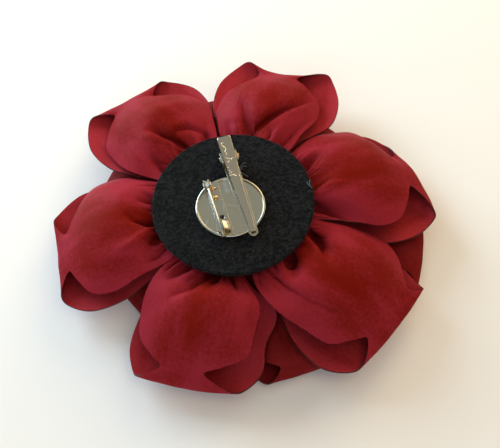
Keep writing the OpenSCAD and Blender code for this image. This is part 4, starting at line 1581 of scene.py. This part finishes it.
@dataclass
class FeltBack:
    """The felt disc that covers the sewn ends, with its fuzz and loose threads. Sizes are in mm."""

    radius: float = FELT_R
    top: float = FELT_TOP
    thickness: float = FELT_T
    rings: int = 70
    spokes: int = 260
    fibres: int = 900
    seed: int = 5
    lumps: int = 14
    lump_pitch: Span = (2.2, 9)
    lump_height: float = 0.02
    # The cut's unevenness: how many waves go round, and how high they are.
    wobbles: tuple[tuple[int, float], ...] = (
        (2, 0.12),
        (3, 0.1),
        (5, 0.07),
        (9, 0.05),
        (17, 0.04),
        (31, 0.03),
    )
    thread_radius: float = 0.06
    threads: tuple[tuple[Place3, ...], ...] = (
        ((0.8, 9.0, 0.2), (1.0, 9.9, 0.5), (1.8, 10.6, 0.8), (2.6, 10.8, 0.7), (3.2, 10.9, 0.4)),
        ((0.8, 8.2, 0.2), (1.5, 9.2, 0.7), (2.3, 9.5, 0.9), (2.9, 9.2, 0.6)),
        ((0.9, 7.2, 0.2), (1.5, 6.6, 0.6), (2.2, 5.8, 0.7), (3.2, 5.1, 0.2)),
        ((25.4, 1.4, 0.1), (24.9, 0.2, 0.3), (25.0, -1.2, 0.3), (25.6, -2.4, 0.1)),
        ((24.1, 0.6, 0.1), (24.4, -0.8, 0.3), (25.2, -1.6, 0.2)),
    )

    # The disc: how far its cut wall and its level lie in, and how its rings crowd at the edge.
    WALL_INSET = 0.35
    TOP_INSET = 0.06
    CROWDING = 0.8
    # The fibres: how many points each has, how many grow from the top, how deep their roots are, and
    # the ranges in mm, radians and shares that their places and sizes are drawn from.
    FIBRE_POINTS = 5
    TOP_FIBRE_EVERY = 3
    EDGE_ROOT = 0.1
    EDGE_INSET = (-0.3, 0.0)
    EDGE_DROP = (0, 1.4)
    TOP_ROOT = 0.05
    TOP_SPREAD = (0.2, 1)
    HEADING_STRAY = 1.1
    BEND_STRAY = 0.9
    FIBRE_LENGTH = (0.4, 1.1)
    FIBRE_ARCH = (0.05, 0.3)
    ARCH_SPAN = (0.5, 1)
    FIBRE_RADIUS = (0.018, 0.032)
    THREAD_POINTS = 8

    def profile(self) -> np.ndarray:
        """The disc from the middle of its top, over its edge, to the middle of its underside.

        Returns:
            Rows of the share of the radius, mm added to it, and height over the top.
        """
        top = [(share, 0, 0) for share in np.linspace(0, 1, self.rings) ** self.CROWDING]
        corner = [(1, 0.12, -0.04), (1, 0.24, -0.16), (1, 0.3, -0.35)]
        wall = [(1, 0.3, -self.thickness * 0.5), (1, 0.28, -self.thickness + 0.2)]
        under = [(share, 0, -self.thickness) for share in (1, 0.5, 0)]
        return np.array([*top, *corner, *wall, *under], float)

    def build_disc(self) -> bpy.types.Object:
        """Makes the disc: hand cut, a little wavy, with soft edges.

        Returns:
            The object.
        """
        rng = np.random.default_rng(self.seed)
        angle = np.linspace(0, 2 * math.pi, self.spokes, endpoint=False)
        wobble = sum(high * np.sin(angle * waves + rng.uniform(0, PHASE)) for waves, high in self.wobbles)
        share, added, height = (column[:, None] for column in self.profile().T)
        reach = share * (self.radius - self.WALL_INSET + wobble) + added
        x, y = reach * np.cos(angle), reach * np.sin(angle)
        lumps = np.zeros_like(x)
        shortest, longest = self.lump_pitch
        for _ in range(self.lumps):
            way = rng.uniform(0, math.pi)
            pitch = rng.uniform(shortest, longest)
            phase = rng.uniform(0, PHASE)
            along = x * math.cos(way) + y * math.sin(way)
            lumps += np.sin(along * 2 * math.pi / pitch + phase) * pitch / longest
        lumps[self.rings:] = 0
        z = self.top - self.TOP_INSET + height + lumps * self.lump_height
        z[height[:, 0] == -self.thickness] = self.top - self.thickness
        points = point_rows(x + FELT_MIDDLE[0], y + FELT_MIDDLE[1], z)
        return mesh_object("felt_back", points, grid_faces(*x.shape, closed=True))

    def fibre(self, rng: np.random.Generator, at_edge: bool) -> Mesh:
        """One short loose fibre.

        Args:
            rng: what its place and shape are drawn from.
            at_edge: whether it grows from the edge and not from the top.

        Returns:
            Its corners and faces.
        """
        angle = rng.uniform(0, 2 * math.pi)
        if at_edge:
            reach = self.radius - self.EDGE_ROOT + rng.uniform(*self.EDGE_INSET)
            root = self.top - rng.uniform(*self.EDGE_DROP)
        else:
            reach = self.radius * math.sqrt(rng.uniform(*self.TOP_SPREAD))
            root = self.top - self.TOP_ROOT
        heading = angle + rng.normal(0, self.HEADING_STRAY)
        length = rng.uniform(*self.FIBRE_LENGTH)
        bend = rng.normal(0, self.BEND_STRAY)
        t = np.linspace(0, 1, self.FIBRE_POINTS)
        way = heading + bend * t
        x = reach * math.cos(angle) + np.cumsum(np.cos(way)) * length / len(t)
        y = reach * math.sin(angle) + np.cumsum(np.sin(way)) * length / len(t)
        arch = np.sin(t * math.pi * rng.uniform(*self.ARCH_SPAN)) * length * rng.uniform(*self.FIBRE_ARCH)
        path = np.stack([x + FELT_MIDDLE[0], y + FELT_MIDDLE[1], root + arch], 1)
        return tube_mesh(path, np.full(len(t), rng.uniform(*self.FIBRE_RADIUS)), sides=3)

    def thread(self, keys: Sequence[Place3]) -> Mesh:
        """One loose end of thread through its key places, which are heights over the felt."""
        path = smooth_path(keys, self.THREAD_POINTS)
        path[:, 2] += self.top
        return tube_mesh(path, np.full(len(path), self.thread_radius), sides=5)

    def build(self) -> dict[str, bpy.types.Object]:
        """Makes the disc, the fuzz over it and round its edge, and the loose threads."""
        rng = np.random.default_rng(self.seed + 1)
        fibres = joined(self.fibre(rng, k % self.TOP_FIBRE_EVERY != 0) for k in range(self.fibres))
        threads = joined(self.thread(keys) for keys in self.threads)
        return {
            "disc": self.build_disc(),
            "fuzz": mesh_object("felt_fuzz", *fibres),
            "threads": mesh_object("loose_threads", *threads),
        }

    def dress(self, made: dict[str, bpy.types.Object]) -> None:
        """Gives each piece its finish, lets it ride on the flower, and hides the felt part that the disc
        replaces.
        """
        finishes = {
            "disc": Felt("black_felt").build(),
            "fuzz": Fibre("felt_fibre").build(),
            "threads": Fibre("thread", tint=(0.16, 0.20, 0.24)).build(),
        }
        for name, piece in made.items():
            rest_on(piece, Body.FLOWER, finishes[name])
        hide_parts("felt_disc")
        side = 2 * self.radius * MM
        math.pi * (self.radius * MM) ** 2


def turned_place(turn: float, x: float, y: float, z: float) -> Matrix:
    """Where a frame turned about the plate's middle has its origin.

    Args:
        turn: the frame's turn, in degrees.
        x: place along the turned X axis, in mm from the plate's middle.
        y: place along the turned Y axis.
        z: height.

    Returns:
        The matrix, in millimetres.
    """
    plate = Vector((FELT_MIDDLE[0] + PLATE_SHIFT[0], FELT_MIDDLE[1] + PLATE_SHIFT[1], 0.0))
    turned = Matrix.Translation(plate) @ Matrix.Rotation(math.radians(turn), 4, "Z")
    return turned @ Matrix.Translation((x, y, z))


BAR_TURN = 11.5
BAR_FRAME = turned_place(BAR_TURN, x=0.0, y=0.0, z=PLATE_TOP)
CLIP_FRAME = turned_place(BAR_TURN, x=4.8, y=18.2, z=PLATE_TOP)


def placed(points: np.ndarray, place: Matrix) -> np.ndarray:
    """Moves points by a matrix."""
    m = np.array(place)
    return points @ m[:3, :3].T + m[:3, 3]


def spot(place: Matrix, point: Place3) -> Place3:
    """A point in a turned frame as one in the part's own, in mm."""
    return tuple(place @ Vector(point))


@dataclass
class MetalFinding:
    """The plate, pin bar, clip and pin: the solids with plating, and the small work on them.

    Sizes are in mm. The relief's lines and dots are given as places across the lever and along it
    from the hinge, with a radius, and the beads and the leaf as places in the bar's frame.
    """

    lever_slope: float = 16.0
    roof: float = 4.35
    sheet: float = 0.5
    relief: tuple[tuple[tuple[Place, ...], float], ...] = (
        (((-0.45, 5.1), (-1.15, 5.25), (-1.45, 4.5), (-1.0, 3.8), (-0.5, 3.2), (-0.5, 2.4), (-0.95, 1.9),
          (-0.7, 1.2), (-0.6, 0.7), (-1.3, 0.5)), 0.17),
        (((-1.4, -0.2), (-0.7, -0.9), (0.1, -1.2), (1.5, -1.2)), 0.17),
        (((-1.9, -7.4), (-1.1, -7.3), (-0.3, -7.5), (0.6, -8.2)), 0.17),
    )
    dots: tuple[Place3, ...] = (
        (0.5, -1.5, 0.34), (-0.8, -2.2, 0.34), (-1.6, -4.3, 0.22), (-1.3, -5.5, 0.24), (-0.9, -6.3, 0.22),
        (-1.6, -6.5, 0.2), (1.55, -8.2, 0.26),
    )
    dot_sink: float = 0.4
    solder: tuple[tuple[Place3, Place3], ...] = (
        ((-4.15, 4.8, 0.75), (0.95, 1.05, 0.55)),
        ((-3.3, 8.6, 0.7), (0.5, 0.45, 0.4)),
        ((-4.25, 7.9, 0.7), (0.32, 1.1, 0.45)),
    )
    solder_seed: int = 7
    leaf: tuple[Place3, Place3] = ((-5.15, -8.3, 3.63), (-2.55, -8.3, 1.83))
    leaf_length: float = 3.4
    leaf_bulge: float = 0.42
    leaf_taper: float = 0.25
    leaf_way: Place = (0.57, 0.82)
    leaf_thickness: float = 0.1
    # Where marks are: at the hinge, in the clip's frame, and in the bar's frame at the ear that
    # holds the pin, at the hole in the bar, which gets painted shade, and where the plate is smeared and
    # scratched.
    hinge: Place3 = (2.9, 0.0, 3.0)
    ear: Place3 = (-4.9, 9.9, 2.0)
    hole: Place3 = (-4.05, -3.5, -0.2)
    smears: tuple[Place3, ...] = ((0.7, 10.0, 0.0), (0.7, 8.8, 0.0), (0.7, 7.7, 0.0), (0.7, 6.7, 0.0))
    scratches: tuple[Scratch, ...] = (
        Scratch((-9.6, -3.6, 0.0), way=57, length=3.0),
        Scratch((-2.4, 0.8, 0.6), way=81, length=5.6),
        Scratch((0.6, 0.4, 0.0), way=-26, length=5.0),
        Scratch((-3.0, 3.7, 0.6), way=-8, length=2.4),
    )

    # A bead's grid, how far its first ring is from its pole in radians, and its lumps.
    BEAD_RINGS = 22
    BEAD_SPOKES = 36
    BEAD_POLE = 0.02
    BEAD_LUMPS = (2, 3, 4)
    LUMP_HEIGHT = 0.05
    LUMP_PHASE = 6
    # How sharply a relief line thins towards its ends, and how many points it has for each key.
    LINE_END = 0.03
    LINE_SHAPE = 0.4
    LINE_POINTS = 12
    # The leaf's grid, and how far its bulge is cut off at its ends.
    LEAF_RINGS = 15
    LEAF_STRIPS = 13
    LEAF_END = 0.06

    def plate(self) -> None:
        """Gives each solid its plating, with the marks that solder and use have left, and painted shade in
        the hole in the bar.
        """
        hinge = spot(CLIP_FRAME, self.hinge)
        clip = Plating(
            "nickel_clip", tint=(0.46, 0.43, 0.36), edge=0.6, stains=(Stain(hinge, radius=1.5),)
        ).build()
        base = Plating(
            "nickel_plate", roughness=0.2, edge=0.15,
            stains=(Stain(spot(BAR_FRAME, self.ear), radius=2.4), Stain(hinge, radius=2.2)),
            # Painted shade in the hole in the bar.
            shade_spots=(Stain(spot(BAR_FRAME, self.hole), radius=1.2),),
            smears=tuple(Stain(spot(BAR_FRAME, place), radius=1.1) for place in self.smears),
            scratches=tuple(
                replace(scratch, place=spot(BAR_FRAME, scratch.place), way=scratch.way + BAR_TURN)
                for scratch in self.scratches
            ),
        ).build()
        wire = Plating("nickel_wire", tint=(0.70, 0.75, 0.80), roughness=0.12, edge=0.05).build()
        finishes = {
            "finding_base": base, "clip_jaw": clip, "clip_hinge_pin": clip,
            "clip_spring": wire, "brooch_pin": wire, "pin_rivet": wire,
        }
        for name, finish in finishes.items():
            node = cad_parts[name]
            node.data.materials.clear()
            node.data.materials.append(finish)

    def lever_point(self, x: float, along: float, up: float) -> Place3:
        """A point on the lever: across it, along it from the hinge, and over its upper face."""
        slope = math.radians(self.lever_slope)
        rise = up + self.sheet
        return (
            x,
            along * math.cos(slope) - rise * math.sin(slope),
            self.roof + along * math.sin(slope) + rise * math.cos(slope),
        )

    def relief_line(self, keys: Sequence[Place], thick: float) -> Mesh:
        """One raised line of the relief.

        Args:
            keys: its key places on the lever.
            thick: its radius at its middle. It thins towards its ends.

        Returns:
            Its corners and faces, in the clip's frame.
        """
        path = smooth_path(keys, self.LINE_POINTS)
        on_lever = np.array([self.lever_point(x, along, 0.0) for x, along in path])
        way = np.clip(np.linspace(0, 1, len(path)), self.LINE_END, 1 - self.LINE_END)
        return tube_mesh(on_lever, thick * np.sin(way * math.pi) ** self.LINE_SHAPE, sides=8)

    def build_relief(self) -> bpy.types.Object:
        """Makes the raised lines that are pressed into the lever's upper face, as one object."""
        points, faces = joined(self.relief_line(keys, thick) for keys, thick in self.relief)
        return mesh_object("lever_relief", placed(points, CLIP_FRAME), faces)

    def build_bead(
        self, name: str, place: Sequence[float], radii: Sequence[float], frame_at: Matrix, seed: int
    ) -> bpy.types.Object:
        """Makes a lumpy bead of metal.

        Args:
            name: the piece's name.
            place: its middle in the turned frame.
            radii: its half sizes.
            frame_at: the turned frame.
            seed: which lumps it has.

        Returns:
            The object.
        """
        rng = np.random.default_rng(seed)
        up = np.linspace(self.BEAD_POLE, math.pi - self.BEAD_POLE, self.BEAD_RINGS)[:, None]
        around = np.linspace(0, 2 * math.pi, self.BEAD_SPOKES, endpoint=False)[None, :]
        lumps = 0.0
        for n in self.BEAD_LUMPS:
            round_it = np.sin(around * n + rng.uniform(0, self.LUMP_PHASE))
            down_it = np.sin(up * (n - 1) + rng.uniform(0, self.LUMP_PHASE))
            lumps = lumps + self.LUMP_HEIGHT * round_it * down_it
        swell = 1 + lumps
        x = np.sin(up) * np.cos(around) * radii[0] * swell + place[0]
        y = np.sin(up) * np.sin(around) * radii[1] * swell + place[1]
        z = np.cos(up) * radii[2] * swell + place[2]
        return mesh_object(name, placed(point_rows(x, y, z), frame_at), grid_faces(*x.shape, closed=True))

    def build_leaf(self) -> bpy.types.Object:
        """Makes the rolled leaf of the catch: a bulged skin on the lip that folds over the wire.

        Returns:
            The object.
        """
        along = np.linspace(0, 1, self.LEAF_RINGS)[:, None]
        over = np.linspace(0, 1, self.LEAF_STRIPS)[None, :]
        taper = 1 - self.leaf_taper * (2 * along - 1) ** 4
        share = 0.5 + (over - 0.5) * taper
        way = self.LEAF_END + (1 - 2 * self.LEAF_END) * along
        bulge = self.leaf_bulge * np.sin(math.pi * over) * np.sin(math.pi * way) ** 0.5
        start, end = self.leaf
        x, y, z = (a + (b - a) * share for a, b in zip(start, end))
        outward, upward = self.leaf_way
        y = y + self.leaf_length * (along - 0.5)
        points = point_rows(x + outward * bulge, y, z + upward * bulge)
        made = mesh_object("catch_leaf", placed(points, BAR_FRAME), grid_faces(*share.shape))
        thicken(made, self.leaf_thickness)
        return made

    def build(self) -> dict[str, tuple[bpy.types.Object, Body]]:
        """Makes the small work.

        Returns:
            Each piece with the body that it rides on.
        """
        made = {"relief": (self.build_relief(), Body.JAW), "leaf": (self.build_leaf(), Body.FLOWER)}
        for k, (x, along, radius) in enumerate(self.dots):
            place = self.lever_point(x, along, -self.dot_sink * radius)
            dot = self.build_bead(f"lever_dot_{k}", place, (radius,) * 3, CLIP_FRAME, seed=k)
            made[f"dot_{k}"] = (dot, Body.JAW)
        for k, (place, radii) in enumerate(self.solder):
            bead = self.build_bead(f"solder_bead_{k}", place, radii, BAR_FRAME, seed=self.solder_seed + k)
            made[f"solder_{k}"] = (bead, Body.FLOWER)
        return made

    def dress(self, made: dict[str, tuple[bpy.types.Object, Body]]) -> None:
        """Gives the small work its finish: gold solder, and a pale gilt that is partly worn gilding and
        partly a painted highlight.
        """
        # Painted highlight: the relief, dots and catch leaf get a paler, more golden plating than the clip,
        # partly worn gilding.
        gilt_and_highlight = Plating("worn_gilt_and_highlight", tint=(0.95, 0.84, 0.62), roughness=0.34, edge=0.03).build()
        solder = Solder("gold_solder").build()
        for name, (piece, body) in made.items():
            rest_on(piece, body, solder if name.startswith("solder") else gilt_and_highlight)


@dataclass(frozen=True)
class Lamp:
    """A soft light: where it hangs in metres, its size, power and colour."""

    name: str
    place: Place3
    size: float
    power: float
    tint: Colour


@dataclass
class Studio:
    """The pale floor, the soft lights and the camera where the photograph was taken.

    The camera's distance and aim are in mm, the aim from the felt's middle, and its angles in
    degrees. The floor's half side is in mm.
    """

    distance: float = 350.0
    elevation: float = 59.25
    roll: float = -5.49
    focal_px: float = 995.3
    photo_width: float = 500.0
    sensor: float = 36.0
    aim: Place3 = (5.27, -10.19, 28.0)
    nearest: float = 0.01
    furthest: float = 20.0
    room_tint: Colour = (0.92, 0.97, 1.0)
    room_light: float = 0.24
    floor_half: float = 2000.0
    lamps: tuple[Lamp, ...] = (
        Lamp("window", (-0.46, 0.50, 0.22), size=0.6, power=8.6, tint=(0.68, 0.87, 1.0)),
        Lamp("lampshade", (0.42, 0.72, 0.45), size=0.5, power=3.6, tint=(1.0, 0.70, 0.34)),
        Lamp("side", (0.82, 0.42, 0.45), size=0.5, power=1.6, tint=(1.0, 0.72, 0.36)),
        Lamp("room", (0.32, -0.32, 0.88), size=0.6, power=1.4, tint=(1.0, 0.62, 0.24)),
        Lamp("front", (-0.25, -0.90, 0.30), size=1.2, power=4.6, tint=(0.80, 0.90, 1.0)),
        Lamp("ceiling", (0.0, 0.45, 1.15), size=1.9, power=2.4, tint=(1.0, 0.90, 0.66)),
    )

    def build_camera(self) -> None:
        """Places the camera and makes it the scene's own."""
        e, roll = math.radians(self.elevation), math.radians(self.roll)
        back = Vector((0, -math.cos(e), math.sin(e)))
        right, up = Vector((1, 0, 0)), Vector((0, math.sin(e), math.cos(e)))
        side = right * math.cos(roll) + up * math.sin(roll)
        top = -right * math.sin(roll) + up * math.cos(roll)
        aim = Vector((self.aim[0] + FELT_MIDDLE[0], self.aim[1] + FELT_MIDDLE[1], self.aim[2]))
        data = bpy.data.cameras.new("camera")
        data.sensor_fit = "HORIZONTAL"
        data.sensor_width = self.sensor
        data.lens = self.focal_px / self.photo_width * self.sensor
        data.clip_start, data.clip_end = self.nearest, self.furthest
        camera = bpy.data.objects.new("camera", data)
        turn = Matrix((side, top, back)).transposed().to_4x4()
        camera.matrix_world = Matrix.Translation((aim + back * self.distance) * MM) @ turn
        bpy.context.scene.collection.objects.link(camera)
        bpy.context.scene.camera = camera

    def build_lamps(self) -> None:
        """Hangs the soft lights, each aimed at the flower."""
        for lamp in self.lamps:
            data = bpy.data.lights.new(lamp.name, "AREA")
            data.shape = "DISK"
            data.size = lamp.size
            data.energy = lamp.power
            data.color = lamp.tint
            light = bpy.data.objects.new(lamp.name, data)
            light.location = lamp.place
            light.rotation_mode = "QUATERNION"
            light.rotation_quaternion = (-Vector(lamp.place)).to_track_quat("-Z", "Y")
            bpy.context.scene.collection.objects.link(light)

    def build_world(self) -> None:
        """Fills the room with weak even light."""
        world = bpy.data.worlds.new("room")
        bpy.context.scene.world = world
        world.use_nodes = True
        background = world.node_tree.nodes["Background"]
        background.inputs["Color"].default_value = (*self.room_tint, 1.0)
        background.inputs["Strength"].default_value = self.room_light
        bpy.context.scene.view_settings.view_transform = "Standard"

    def build_floor(self, finish: bpy.types.Material) -> None:
        """Lays the floor."""
        corners = ((-1, -1, 0), (1, -1, 0), (1, 1, 0), (-1, 1, 0))
        floor = mesh_object("floor", self.floor_half * np.array(corners), np.array([(0, 1, 2, 3)]))
        floor.data.materials.append(finish)

    def build(self, finish: bpy.types.Material) -> None:
        """Makes the whole studio."""
        self.build_camera()
        self.build_lamps()
        self.build_world()
        self.build_floor(finish)


def main() -> None:
    """Builds the brooch and the studio round it, in order."""
    logging.basicConfig(level=logging.INFO, format="%(name)s: %(message)s")
    studio = Studio()
    studio.build(Floor("floor_top").build())
    log.info("studio: %d lamps", len(studio.lamps))

    singed = SingedEdge("singed_edge").build()
    satin = {cloth: cloth.value.build() for cloth in Cloth}
    for petal in (*OUTER_PETALS, *UNDER_PETALS):
        piece = petal.build()
        petal.dress(piece, satin, singed)
        log.info("%s: %d corners", piece.name, len(piece.data.vertices))

    inner = InnerPetals()
    inner.dress(inner.build(), satin[Cloth.INNER])
    log.info("inner petals: %d", inner.count)

    bud = Bud()
    bud.dress(bud.build(), satin[Cloth.INNER])
    log.info("bud: %d turns", len(bud.turns))

    felt = FeltBack()
    felt.dress(felt.build())
    log.info("felt: %d fibres, %d threads", felt.fibres, len(felt.threads))

    metal = MetalFinding()
    metal.plate()
    small_work = metal.build()
    metal.dress(small_work)
    log.info("metal: solids plated, %d small pieces", len(small_work))


if __name__ == "__main__":
    main()
